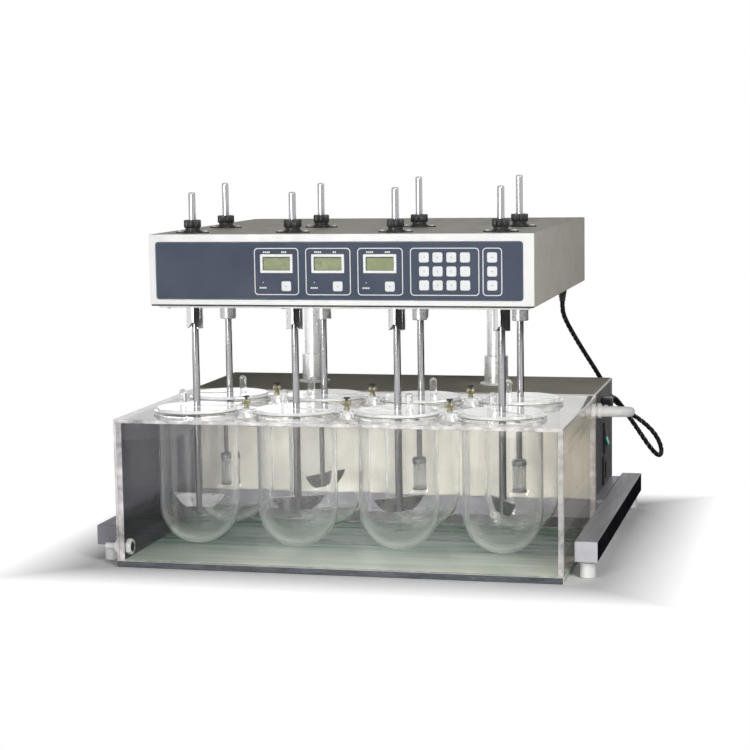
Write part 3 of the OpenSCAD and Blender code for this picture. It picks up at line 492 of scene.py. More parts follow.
# Paint
BODY_PAINT = surface("enamel_body", (0.52, 0.50, 0.43), 0.5, vary=0.03, size=0.05, grain=0.35, gloss=0.05,
                     spots=((0.38, 0.36, 0.31), 0.0016, 0.60))
WHITE_PAINT = surface("enamel_white", (0.86, 0.86, 0.84), 0.35, vary=0.02, size=0.06, grain=0.15)
CREAM_PAINT = surface("enamel_cream", (0.76, 0.73, 0.66), 0.5, vary=0.14, size=0.045, grain=0.3, gloss=0.2)
TOP_PAINT = surface("enamel_top", (0.42, 0.405, 0.345), 0.6, vary=0.06, size=0.05, grain=0.35, gloss=0)
# Light cream on the housing's outer folds: painted highlight along its edges
FOLD_HIGHLIGHT = surface("enamel_fold_painted_highlight", (0.74, 0.71, 0.64), 0.45, vary=0.1, gloss=0.3)
# Near-black grey on the housing's ends: painted shade for its dim right face
END_SHADE = surface("enamel_end_painted_shade", (0.105, 0.105, 0.112), 0.5, vary=0.12, size=0.04, grain=0.35, gloss=0.15)
RAIL_TOP = surface("rail_top", (0.28, 0.28, 0.30), 0.4, vary=0.2, size=0.05, stretch=(3, 0.35, 1), grain=0.1,
                   gloss=0.15)
RAIL_CAP = surface("rail_cap", (0.56, 0.56, 0.60), 0.4, vary=0.08, size=0.02, grain=0.2)
# Rails' outer sides: near black, painted shade for the sides turned away from the light
RAIL_SIDE_SHADE = surface("rail_side_painted_shade", (0.014, 0.014, 0.016), 0.6, vary=0.3, grain=0.2, gloss=0)
FRAME_PAINT = surface("frame_paint", (0.22, 0.21, 0.25), 0.4, vary=0.12, size=0.05, grain=0.25)
# Near black for the strip under the fascia, a painted shadow line, and for the fascia's rubber gasket
SHADOW_STRIP_AND_GASKET = surface("shadow_strip_and_gasket_black", (0.012, 0.012, 0.012), 0.6, vary=0.2, size=0.02)
# Metal
CHROME = surface("chrome", (0.72, 0.72, 0.73), 0.06, metal=1, vary=0.05, size=0.02, stretch=(6, 6, 0.5))
POLISHED = surface("polished_steel", (0.95, 0.95, 0.95), 0.3, metal=1, vary=0.02)
SHAFT = surface("shaft_steel", (0.44, 0.44, 0.45), 0.10, metal=1, vary=0.06, size=0.02, stretch=(6, 6, 0.5))
STEEL = surface("steel", (0.58, 0.58, 0.59), 0.28, metal=1, vary=0.10, size=0.02, stretch=(1, 1, 6),
                grain=0.1)
BLADE_STEEL = surface("blade_steel", (0.24, 0.24, 0.245), 0.3, metal=1, vary=0.14, size=0.012, grain=0.15)
BRASS = surface("thumb_brass", (0.34, 0.32, 0.20), 0.3, metal=0.7, vary=0.25, size=0.004)
# Plastic and rubber
BLACK = surface("black_plastic", (0.018, 0.018, 0.019), 0.38, vary=0.25, size=0.006, grain=0.3)
RUBBER = surface("black_rubber", (0.02, 0.02, 0.021), 0.6, vary=0.25, size=0.01, grain=0.35)
NYLON = surface("white_plastic", (0.84, 0.84, 0.83), 0.42, vary=0.03, size=0.012, grain=0.12)
HOSE_SKIN = surface("hose_silicone", (0.83, 0.83, 0.81), 0.5, vary=0.04, size=0.01, grain=0.2)
WRAP = surface("spiral_wrap", (0.010, 0.010, 0.011), 0.5, vary=0.25, size=0.006, grain=0.2, gloss=0.12)
# White spots in the wrap's gaps: painted highlights
WRAP_GAP_HIGHLIGHTS = surface("wrap_gap_painted_highlights", (0.02, 0.02, 0.02), 0.5, vary=0.3, size=0.006, gloss=0.1,
                   spots=((0.80, 0.80, 0.80), 0.004, 0.54))
MOTOR_BLACK = surface("motor_black", (0.03, 0.03, 0.032), 0.45, vary=0.2, size=0.02, grain=0.3)
BELT = surface("belt_rubber", (0.025, 0.025, 0.025), 0.7, vary=0.2, size=0.01, grain=0.3)
LIT_GREEN = surface("switch_green", (0.005, 0.36, 0.29), 0.25, vary=0.12, size=0.008, glow=0.25)
# Panel
FILM = surface("panel_film", (0.066, 0.082, 0.120), 0.45, vary=0.10, size=0.16, grain=0.25, grain_size=0.0007,
               gloss=0.15, spots=((0.100, 0.118, 0.158), 0.0009, 0.64))
FILM_RIM = surface("panel_rim", (0.055, 0.070, 0.110), 0.4, vary=0.1, size=0.05)
PRINT = surface("panel_print", (0.84, 0.85, 0.86), 0.45, vary=0.02, size=0.02)
KEY_PAD = surface("key_pad", (0.82, 0.83, 0.84), 0.42, vary=0.03, size=0.008, grain=0.1)
KEY_MARK = surface("key_mark", (0.44, 0.46, 0.48), 0.5, vary=0.05, size=0.01)
BEZEL = surface("display_bezel", (0.86, 0.86, 0.85), 0.38, vary=0.02, size=0.01)
LCD = surface("display_glass", (0.235, 0.275, 0.125), 0.3, vary=0.05, size=0.02, gloss=0.2)
LCD_DARK = surface("display_shadow", (0.035, 0.042, 0.022), 0.4, vary=0.15, size=0.01)
# Clear pieces
ACRYLIC, ACRYLIC_IOR = (0.99, 0.99, 0.99), 1.45
GLASS = clear_solid("vessel_glass", EVEN, 1.47, 0.008, relief=0.05, rim=0.55)
COVER_CLEAR = clear_solid("cover_acrylic", ACRYLIC, ACRYLIC_IOR, 0.16, rough=0.05)
# Milky cover edges: their cut, brightened as painted highlight
COVER_RIM = clear_solid("cover_edge", ACRYLIC, ACRYLIC_IOR, 0.6, rough=0.1)
PEG_CLEAR = clear_solid("peg_acrylic", ACRYLIC, ACRYLIC_IOR, 0.08, rough=0.02, rim=0.6)
SHEET = clear_sheet("acrylic_sheet", (0.99, 0.99, 0.985), 0.006)
SIDE_SHEET = clear_sheet("acrylic_right", (0.95, 0.93, 0.90), 0.08, (0.50, 0.45, 0.39), ior=1.12)
# Dark tint on the left wall: painted shade for the dark surroundings seen through it
LEFT_SHEET_SHADE = clear_sheet("acrylic_left", (0.25, 0.25, 0.28), 0.08, (0.13, 0.13, 0.15), cloud=0.02, ior=1.2)
# Strong white haze on the top plate: painted highlight for the light the plate catches
PLATE_CLEAR_HIGHLIGHT = clear_sheet("acrylic_top", (0.95, 0.95, 0.945), 0.32, (0.95, 0.94, 0.92), cloud=0.07)
# Milky pale edges of the sheets: their cut, brightened as painted highlight
EDGE = clear_sheet("acrylic_edge", (0.92, 0.89, 0.90), 0.6, (0.93, 0.90, 0.90), rough=0.2, cloud=0.02)
BOTTOM = bath_bottom_painted_light_and_shade("bath_bottom_painted_light_and_shade")
SEAM = surface("floor_edge", (0.10, 0.105, 0.12), 0.25, vary=0.35, size=0.02, stretch=(0.5, 1, 3))


# Camera, at the photograph's place

CAMERA_AT, CAMERA_LENS = (0.6565, -2.6921, 0.5664), 93.78
YAW, PITCH, ROLL = 0.2425, -0.1207, 0.0152


def aim_camera():
    forward = Vector((-math.sin(YAW) * math.cos(PITCH), math.cos(YAW) * math.cos(PITCH), math.sin(PITCH)))
    right = Vector((math.cos(YAW), math.sin(YAW), 0))
    down = -right.cross(forward)
    across = math.cos(ROLL) * right + math.sin(ROLL) * down
    upright = math.sin(ROLL) * right - math.cos(ROLL) * down
    data = bpy.data.cameras.new("camera")
    data.sensor_width = 36
    data.sensor_fit = "HORIZONTAL"
    data.lens = CAMERA_LENS
    camera = show("camera", data)
    turn = Matrix((across, upright, -forward)).transposed().to_4x4()
    camera.matrix_world = Matrix.Translation(CAMERA_AT) @ turn
    scene.camera = camera


# Cords, on the routes that the part's source has

HOSE_R, CLIP_R, CLIP_HALF, CLIP_IN = 7, 8.6, 2.5, 3.5
HOSE_FROM, HOSE_TO = Vector((309.1, OUTLET_Y, OUTLET_Z)), Vector((309.1, PORT_Y, PORT_Z))
HOSE_BENDS = ((0, 0), (15, 0), (30, 0.1), (42, 0.35), (42, 0.65), (30, 0.9), (15, 1), (0, 1))
HARNESS_FROM, HARNESS_TO = Vector((GLAND_X, GLAND_Y, 322.95)), Vector((308, 140, PLUG_Z))
HARNESS_DROP = Vector((0, 0, 10))
HARNESS_CORNER = Vector((HOUSING_X, HOUSING_Y1, DECK_Z))
HARNESS_BENDS = (
    (-64, -68, 250), (-52, -46, 220), (-38, -24, 190), (-25, -2, 163), (-14, 16, 138), (-3, 20, 116),
    (17, 22, 98), (44, 24, 82), (66, 24, 60), (75, 14, 38), (72, -6, 31), (60, -20, 47),
    (45, -21, 70), (30, -22, 92), (18, -30, 112), (10, -48, 127), (8, -70, 130), (8, -90, 130))
# The wrap's radius, sides, pitch, gap as a share of the pitch, gap's depth and plain length at each end
WRAP_R, WRAP_SIDES, WRAP_PITCH, GAP_SHARE, GAP_DEEP, WRAP_PLAIN = 3.5, 20, 9.0, 0.24, 0.85, 4


def curve_points(points, steps):
    """Even cubic curve near a route's points, from the first to the last."""
    p = [Vector(v) for v in points]
    q = [2 * p[0] - p[1]] + p + [2 * p[-1] - p[-2]]
    out = []
    for a, b, c, d in zip(q, q[1:], q[2:], q[3:]):
        for s in range(steps):
            t = s / steps
            u = 1 - t
            out.append((u ** 3 * a + (3 * t ** 3 - 6 * t ** 2 + 4) * b
                        + (3 * u ** 3 - 6 * u ** 2 + 4) * c + t ** 3 * d) / 6)
    return out + [p[-1]]


def even_points(points, step):
    """Points a step apart along a path, ends kept."""
    out, left = [points[0]], step
    for a, b in zip(points, points[1:]):
        span = (b - a).length
        at = left
        while at < span:
            out.append(a.lerp(b, at / span))
            at += step
        left = at - span
    if (out[-1] - points[-1]).length < step / 2:
        out.pop()
    return out + [points[-1]]


def length_of(points):
    return sum((b - a).length for a, b in zip(points, points[1:]))


def hose():
    route = [HOSE_FROM + f * (HOSE_TO - HOSE_FROM) + Vector((out, 0, 0)) for out, f in HOSE_BENDS]
    path = curve_points(route, 8)
    piece = Shape(HOSE_SKIN).tube(path, HOSE_R, n=28).finish(
        "hose_tube", "base", "hose", slot="hose_silicone", sharp=60)
    clips = Shape(NYLON)
    for end, near in ((path[0], path[3]), (path[-1], path[-4])):
        along = (near - end).normalized()
        turn = along.to_track_quat("Z", "Y").to_matrix().to_4x4()
        clips.place = Matrix.Translation(end + along * CLIP_IN) @ turn
        clips.hoop(HOSE_R + 0.05, CLIP_R, -CLIP_HALF, CLIP_HALF, 0.5, n=40)
        clips.box((8.0, -2.2, -1.9), (10.6, 2.2, 1.9), 0.4)
    clips.finish("hose_clips", "base", slot="white_plastic")


def harness():
    """A cable in a spiral wrap, whose sunk gaps carry white spots as painted highlights."""
    bends = [HARNESS_CORNER + Vector(b) for b in HARNESS_BENDS]
    route = curve_points([HARNESS_FROM, HARNESS_FROM - HARNESS_DROP] + bends + [HARNESS_TO], 24)
    last = length_of(route) - WRAP_PLAIN
    path = even_points(route, 0.9)
    runs = accumulate([0.0] + [(b - a).length for a, b in zip(path, path[1:])])
    shape = Shape(WRAP, WRAP_GAP_HIGHLIGHTS)
    rings, gaps = [], []
    for p, (u, v), run in zip(path, frames_along(path), runs):
        gap = [(run / WRAP_PITCH - s / WRAP_SIDES) % 1 < GAP_SHARE and WRAP_PLAIN < run < last
               for s in range(WRAP_SIDES)]
        ring = []
        for s, sunk in enumerate(gap):
            t, r = 2 * math.pi * s / WRAP_SIDES, WRAP_R - (GAP_DEEP if sunk else 0)
            ring.append(p + u * r * math.cos(t) + v * r * math.sin(t))
        rings.append(shape.ring(ring))
        gaps.append(gap)
    shape.skin(rings, 0)
    spots = [(i, s) for i in range(len(rings) - 1) for s in range(WRAP_SIDES)]
    for f, (i, s) in zip(shape.bm.faces, spots):
        f.material_index = int(all(gaps[a][b % WRAP_SIDES] for a in (i, i + 1) for b in (s, s + 1)))
    shape.ends(rings)
    piece = shape.finish("harness_wrap", None, "harness", slot="black_plastic", sharp=50)
    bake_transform(piece)


# Frame and rear housing

SCREW_R = 3.4
VENTS, VENT_PITCH, VENT_Z = 14, 12, 125.5
CUT_OUT = 5
SLEEVE = fillet([(0, 50), (30.05, 50, 0), (30.05, 56, 1), (18.05, 56, 1), (18.05, 245, 1.2),
                 (14.05, 245, 0.6), (14.05, 56, 0), (8, 56, 0), (8, 225, 0.5), (5.05, 225, 0),
                 (5.05, 56, 0), (0, 56)], 0, 4, closed=False)
COLUMN_TUBE = fillet([(11, 58, 0.6), (COLUMN_R, 58, 0.6), (COLUMN_R, HEAD_Z, 0), (28, HEAD_Z, 0.6),
                      (28, 354, 0.6), (5.5, 354, 0), (5.5, HEAD_Z, 0), (11, HEAD_Z, 0)], 0, 3)
FOOT = fillet([(0, 0), (10.5, 0, 1.5), (9.5, 20, 1.8), (7, 20, 0.3), (7, 23), (0, 23)], 0.3, 4, closed=False)


def rail_paint(side):
    """A rail's top, its outer side, near black as painted shade, and the rest."""
    return lambda at, normal: 0 if normal.z > 0.4 else 1 if normal.x * side > 0.5 else 2


def rails():
    for side, name in ((-1, "left"), (1, "right")):
        x0, x1 = sorted((side * RAIL_X0, side * RAIL_X1))
        shape = Shape(RAIL_TOP, RAIL_SIDE_SHADE, FRAME_PAINT)
        shape.box((x0, RAIL_Y0 + RAIL_END, RAIL_Z0), (x1, RAIL_Y1 - RAIL_END, DECK_Z), 1.4, segments=3)
        shape.finish("rail_" + name, "base", "side_rails", slot="rail_grey", paint=rail_paint(side))
    caps = Shape(FRAME_PAINT, RAIL_CAP)
    half = (RAIL_X1 - RAIL_X0) / 2 - 0.2
    # The left rail's caps take the dark frame paint as painted shade; the right rail's caps are pale grey
    for mat, x in enumerate((-RAIL_MID, RAIL_MID)):
        for y in (RAIL_Y0, RAIL_Y1 - RAIL_END):
            caps.box((x - half, y, RAIL_Z0 + 0.2), (x + half, y + RAIL_END, DECK_Z - 0.2), 0.7, mat)
    caps.finish("rail_caps", "base", slot="rail_grey")


def feet():
    shape = Shape(NYLON, STEEL)
    for x, y in FEET:
        shape.at(x, y).lathe(FOOT, n=40)
        shape.pin(4, RAIL_Z0, RAIL_Z0 + 7, 1)
    shape.finish("feet", "base", "levelling_feet", slot="white_plastic")


def sheet_box(shape, low, high, lip, bevel):
    """A folded sheet box that is open below inside a lip: adds the outside, returns what is cut from it."""
    shape.box(low, high, bevel, segments=3)
    low, high = Vector(low), Vector(high)
    s, e = Vector((SHEET_T,) * 3), Vector((lip, lip, 0))
    room = Shape().box(low + s, high - s)
    mouth = Shape().box(low + e - Vector((0, 0, CUT_OUT)),
                        Vector((high.x - lip, high.y - lip, low.z + SHEET_T + 3)))
    return [room, mouth]


def screw_head(shape, r):
    """Pan head with a recess."""
    h, recess = r * 0.55, r * 0.55
    shape.lathe(fillet([(0, 0), (r, 0, 0), (r, h, h * 0.8), (recess + 0.1, h, 0),
                        (recess * 0.75, h * 0.45, 0), (0, h * 0.45)], 0, 4, closed=False), n=24)


def housing_paint(at, normal):
    """Folds along the top and the right lightened as painted highlight, a cream front, ends darkened as
    painted shade, and a top and back of their own.
    """
    folded = sum(abs(c) > 0.25 for c in normal) > 1
    outer = at.x > HOUSING_X - 2.1 or at.z > HOUSING_Z1 - 2.1
    # Outer folds along the top and the right: painted highlight
    if folded and normal.x > -0.25 and normal.y < 0.25 and outer:
        return 3
    if normal.y < -0.25 and at.y < HOUSING_Y0 + 2:
        return 1
    # Ends: near-black grey as painted shade
    return 2 if abs(normal.x) > 0.6 and abs(at.x) > HOUSING_X - 1 else 0


def housing():
    shape = Shape(TOP_PAINT, CREAM_PAINT, END_SHADE, FOLD_HIGHLIGHT)
    cut = sheet_box(shape, (-HOUSING_X, HOUSING_Y0, DECK_Z), (HOUSING_X, HOUSING_Y1, HOUSING_Z1), 16, 2.0)
    holes = Shape().bores(COLUMNS, 18.6, HOUSING_Z1 - 4, HOUSING_Z1 + 3)
    for i in range(VENTS):
        x = (i - (VENTS - 1) / 2) * VENT_PITCH
        holes.at(x, 250, VENT_Z, then=FRONTWARDS).prism(rect(4, 44, 1.9, 6), 2, 10)
    x0, x1 = HOUSING_X - CUT_OUT, HOUSING_X + CUT_OUT
    for y, z, w, h in ((SWITCH_Y, SWITCH_Z, 22.3, 40.3), (INLET_Y, INLET_Z, 24.3, 36.3)):
        holes.at().box((x0, y - w / 2, z - h / 2), (x1, y + w / 2, z + h / 2))
    for y, z, r in ((PLUG_Y, PLUG_Z, 5.2), (PORT_Y, PORT_Z, 7.2)):
        holes.at(x0, y, z, then=RIGHTWARDS).prism(circle(r, 24), 0, 2 * CUT_OUT)
    shape.finish("housing_shell", "base", "rear_housing", slot="enamel_grey", cut=cut + [holes],
                 paint=housing_paint)
    screws = Shape(STEEL)
    places = [(x, HOUSING_Y1, BACKWARDS) for x in (-285, -95, 95, 285)]
    places += [(-HOUSING_X, y, LEFTWARDS) for y in (60, 230)]
    for x, y, way in places:
        for z in (64, 187):
            screw_head(screws.at(x, y, z, then=way), SCREW_R)
    screws.finish("housing_screws", "base", slot="steel")


def columns():
    sleeves = Shape(POLISHED, NYLON)
    for x, y in COLUMNS:
        sleeves.at(x, y).lathe(SLEEVE, n=72)
        sleeves.hoop(18.1, 24, HOUSING_Z1 + 0.05, HOUSING_Z1 + 2.6, 0.9, mat=1, n=72)
    sleeves.finish("sleeves", "base", "column_sleeves", slot="enamel_white")
    tubes = Shape(POLISHED)
    for x, y in COLUMNS:
        tubes.at(x, y).lathe(COLUMN_TUBE, n=72, loop=True)
    tubes.finish("column_tubes", "head", "lift_columns", slot="steel")


# Water bath and vessels

GLUE_GAP = 0.08
FITTING_R, FITTING_BORE_R = 7, 7.1
SLOT_R, SLOT_OUT = 5.75, 60
COVER_DISC = fillet([(0, COVER_Z), (50.5, COVER_Z, 0.4), (50.5, RIM_Z + 0.04, 0), (54, RIM_Z + 0.04, 0.6),
                     (54, COVER_TOP, 0.8), (0, COVER_TOP)], 0, 3, closed=False)
PEG = [(0, COVER_TOP + 0.05), (5.6, COVER_TOP + 0.05), (5.15, 209.6), (PEG_R, 210.4), (PEG_R, PEG_Z),
       *arc(PEG_R, 0, math.pi / 2, 8, y=PEG_Z)[1:-1], (0, PEG_Z + PEG_R)]
CLAMP_DISC = fillet([(0, 195.2), (4, 195.2, 0.3), (4, 200.1, 0), (7, 200.1, 0.3), (7, 205.06, 0),
                     (15, 205.06, 0.6), (15, 208, 0.8), (0, 208)], 0, 3, closed=False)
THUMB_NECK = [(0, 208.03), (4.2, 208.03), (4.2, 209.2), (3, 209.5), (3, 213.2), (0, 213.2)]
THUMB_STEM = [(0, 219.6), (1.9, 219.6), (1.5, 223), (0, 223)]
SPIGOT = [(0, -15), (7, -15), (7, 9), (6, 9.2), (5, 9.2), (4.4, 12.5), (5, 12.5), (4.4, 16), (5, 16),
          (4.4, 19.5), (5, 19.5), (4.2, 23), (3, 23), (3, 12), (0, 12)]
OUTLET = [(0, -34), (3.6, -34), (3.6, -35), (5, -35), (7, -15), (7, 7.4), (0, 7.4)]


def sheet_paint(axis):
    """Wide faces of a sheet are clear, and its edges show their cut, brightened as painted highlight."""
    return lambda at, normal: 0 if abs(normal[axis]) > 0.9 else 1


def bath():
    w, y0, y1, t, top = BATH_W / 2, BATH_Y0, BATH_Y1, BATH_T, BATH_H - PLATE_T
    z0, inner0, inner1 = t + GLUE_GAP, y0 + t + GLUE_GAP, y1 - t - GLUE_GAP
    plates = (  # name, finish, two corners, axis across the sheet, where a bore starts
        ("bath_front", SHEET, (-w, y0, z0), (w, y0 + t, top), 1, None),
        ("bath_back", SHEET, (-w, y1 - t, z0), (w, y1, top), 1, None),
        ("bath_left", LEFT_SHEET_SHADE, (-w, inner0, z0), (-w + t, inner1, top), 0, (-w - 2, DRAIN_Y, DRAIN_Z)),
        ("bath_right", SIDE_SHEET, (w - t, inner0, z0), (w, inner1, top), 0, (w - t - 2, OUTLET_Y, OUTLET_Z)),
    )
    for name, clear, low, high, axis, hole in plates:
        cut = []
        if hole:
            cut.append(Shape().at(*hole, then=RIGHTWARDS).prism(circle(FITTING_BORE_R, 32), 0, t + 4))
        Shape(clear, EDGE).box(low, high, 0.5).finish(
            name, "base", "water_bath", slot="acrylic", cut=cut, paint=sheet_paint(axis))
    Shape(BOTTOM, SEAM).box((-w, y0, 0), (w, y1, t), 0.6).finish(
        "bath_floor", "base", "water_bath", slot="acrylic",
        paint=lambda at, normal: 0 if normal.z > 0.6 or at.x > w - 1 else 1)
    holes = Shape().bores(SPOTS, 54, top - 3, BATH_H + 3, 72).bores(CLAMPS, 4.15, top - 3, BATH_H + 3, 24)
    Shape(PLATE_CLEAR_HIGHLIGHT, EDGE).box((-w, y0, top + GLUE_GAP), (w, y1, BATH_H), 0.6).finish(
        "bath_top", "base", "bath_plate", slot="acrylic", cut=[holes], paint=sheet_paint(2))


def vessels():
    ro, ri = VESSEL_R, VESSEL_R - VESSEL_WALL
    zo, zi = VESSEL_Z, VESSEL_Z + VESSEL_WALL
    seat, lip = BATH_H + 0.06, RIM_Z - 0.02
    bend = [math.pi / 2 * s / 20 for s in range(21)]
    outer = [(ro * math.sin(t), zo + ro - ro * math.cos(t)) for t in bend]
    inner = [(ri * math.sin(t), zi + ri - ri * math.cos(t)) for t in reversed(bend)]
    rim = fillet([(ro, zo + ro), (ro, seat, 1.2), (RIM_R, seat, 1.6), (RIM_R, lip, 1.6), (ri, lip, 0.8),
                  (ri, zi + ri)], 0, 5, closed=False)
    for k, x, y in PLACES:
        Shape(GLASS).at(x, y).lathe(outer + rim[1:-1] + inner, n=96).finish(
            "vessel_%d" % k, "base", "vessels", slot="vessel_glass", sharp=60)


def covers():
    slot_outline = [(-SLOT_OUT, -SLOT_R), *arc(SLOT_R, -math.pi / 2, math.pi / 2, 12), (-SLOT_OUT, SLOT_R)]
    for k, x, y in PLACES:
        body, turn = "cover_%d" % k, PEG_ANGLES[k - 1]
        slot_cut = Shape().at(x, y, 0, turn).prism(slot_outline, 200, 212)
        Shape(COVER_CLEAR, COVER_RIM).at(x, y).lathe(COVER_DISC, n=96).finish(
            "cover_disc_%d" % k, body, body, slot="acrylic", cut=[slot_cut],
            paint=lambda at, normal: 1 if abs(normal.z) < 0.8 else 0)
        a = math.radians(turn)
        peg = Shape(PEG_CLEAR).at(x + PEG_OUT * math.cos(a), y + PEG_OUT * math.sin(a)).lathe(PEG, n=32)
        peg.finish("cover_peg_%d" % k, body, body, slot="acrylic")


def clamps():
    discs, thumbs = Shape(COVER_CLEAR), Shape(BRASS, BLACK)
    for x, y in CLAMPS:
        discs.at(x, y).lathe(CLAMP_DISC, n=48)
        thumbs.at(x, y).lathe(THUMB_NECK, n=24)
        thumbs.at(x, y, 0, 11).prism(lobed(12, 3.2, 8, 10), 213.2, 219.6, 0.8)
        thumbs.at(x, y).lathe(THUMB_STEM, 1, n=16)
        bar = [(-4.2, 0, 0), (-3.9, 0, 0), (3.9, 0, 0), (4.2, 0, 0)]
        thumbs.at(x, y, 223.3, 25).tube(bar, [0.9, 1.35, 1.35, 0.9], 12, 1)
    discs.finish("clamp_discs", "base", "hold_down_clamps", slot="acrylic")
    thumbs.finish("thumb_screws", "base", "hold_down_clamps", slot="steel")


def hex_nut(shape, z0, z1, across=22):
    shape.prism(fillet(circle(across / 2, 6), 1.0, 3), z0, z1, 0.8)


def fittings():
    shape = Shape(NYLON)
    w = BATH_W / 2
    inside = (-15, -BATH_T - 0.05)
    for place, way, front, profile in (((-w, DRAIN_Y, DRAIN_Z), LEFTWARDS, 7, SPIGOT),
                                       ((w, OUTLET_Y, OUTLET_Z), RIGHTWARDS, 5.5, OUTLET)):
        shape.at(*place, then=way)
        hex_nut(shape, 0.05, front)
        hex_nut(shape, *inside)
        shape.lathe(profile, n=40)
    shape.at(HOUSING_X, PORT_Y, PORT_Z, then=RIGHTWARDS)
    hex_nut(shape, 0.05, 6.5)
    shape.pin(FITTING_R, -9, 8.9, n=40)
    hex_nut(shape, -9, -SHEET_T - 0.05)
    shape.finish("water_fittings", "base", "bulkhead_fittings", slot="white_plastic")


# Electrical pieces on the housing's right face

FLANGE_T, FLANGE_EASE, FLANGE_CORNER = 3, 0.7, 2.4
PLUG_X1, BOOT_Y = 316, 128
SOCKET = fillet([(-8.5, -12.5), (8.5, -12.5), (8.5, 7.5, 0.8), (4, 12.5, 0.8), (-4, 12.5, 0.8),
                 (-8.5, 7.5, 0.8)], 1.2, 4)
ROCKER = fillet([(-6, -4, 1), (3, -12, 0.8), (5.5, -12, 0.8), (3.5, 0, 6), (5.5, 12, 0.8), (3, 12, 0.8),
                 (-6, 4, 1)], 0.5, 5)
ROCKER_W, ROCKER_TILT = 16, 10


def ribs(count, z, pitch, r, change, crest):
    """Profile of a ribbed boot: the crest of each rib, then its groove."""
    out = []
    for i in range(count):
        low, top = z + i * pitch, r + change * i
        groove = top - 0.8
        out += [(top, low), (top, low + crest), (groove, low + crest + 0.2), (groove, low + pitch - 0.2)]
    return out


def connectors():
    def on_face(y, z, outline, z0, z1, ease=0.0, *finishes):
        return Shape(*finishes).at(HOUSING_X, y, z, then=ON_RIGHT_FACE).prism(outline, z0, z1, ease)

    well = on_face(SWITCH_Y, SWITCH_Z, rect(16.6, 26.8, 1.2), -4, 4)
    on_face(SWITCH_Y, SWITCH_Z, rect(28, 46, FLANGE_CORNER), 0.02, FLANGE_T, FLANGE_EASE, BLACK).finish(
        "switch_frame", "base", "side_connectors", slot="black_plastic", cut=[well])
    backs = Shape(BLACK)
    backs.box((278.2, 135.75, 105), (295.8, 157.75, 145), 0.8)
    backs.box((278.2, 126.75, 59), (286, 150.75, 95), 0.8)
    backs.finish("connector_backs", "base", "side_connectors", slot="black_plastic")
    for name, w, h, low, high in (("inlet_flange", 30, 42, 0.02, FLANGE_T), ("inlet_body", 24, 36, -13, 0)):
        socket = on_face(INLET_Y, INLET_Z, SOCKET, -11.9, 4)
        on_face(INLET_Y, INLET_Z, rect(w, h, FLANGE_CORNER), low, high, FLANGE_EASE, BLACK).finish(
            name, "base", "side_connectors", slot="black_plastic", cut=[socket])
    pins = Shape(BLADE_STEEL)
    for y, z in ((132.5, 75), (145, 75), (INLET_Y, 81)):
        pins.box((288, y - 1, z - 2.5), (299, y + 1, z + 2.5), 0.5)
    pins.finish("inlet_pins", "base", slot="steel")
    plug = Shape(BLACK, RUBBER)
    plug.box((HOUSING_X + 0.05, 106, 172), (PLUG_X1, BOOT_Y, 188), 2.2, segments=3)
    boot = [(0, -1), (5.5, 0), *ribs(5, 0.6, 2.2, 5.4, -0.18, 1.2), (4.4, 12), (3.6, 12), (0, 12)]
    plug.at(308, BOOT_Y, PLUG_Z, then=BACKWARDS).lathe(boot, 1, n=32)
    plug.at(290, PLUG_Y, PLUG_Z, then=RIGHTWARDS).pin(5, 0, 10.1)
    for y in (109.5, 124.5):
        screw_head(plug.at(PLUG_X1, y, PLUG_Z, then=RIGHTWARDS), 1.6)
    plug.finish("harness_plug", "base", "side_connectors", slot="black_plastic")


def rocker():
    tilt = FRONTWARDS @ turned(ROCKER_TILT, "Z")
    shape = Shape(LIT_GREEN, BLACK).at(HOUSING_X, SWITCH_Y + ROCKER_W / 2, SWITCH_Z, then=tilt)
    shape.prism(ROCKER, 0, ROCKER_W, 0.5)
    shape.finish("rocker_cap", "mains_rocker", "mains_rocker", slot="switch_green",
                 paint=lambda at, normal: 0 if at.z < SWITCH_Z else 1)


# Drive head

SHADOW_STRIP_H, FASCIA_T, FASCIA_GAP = 2.0, 2, 2.6


def windows(shape, w, h, depth):
    """Adds what is cut for the three displays, from behind the fascia to its front."""
    for x in DISPLAY_X:
        shape.at(x, HEAD_Y0 + 8, DISPLAY_Z, then=FRONTWARDS).prism(rect(w, h, 1), 0, depth)
    return shape


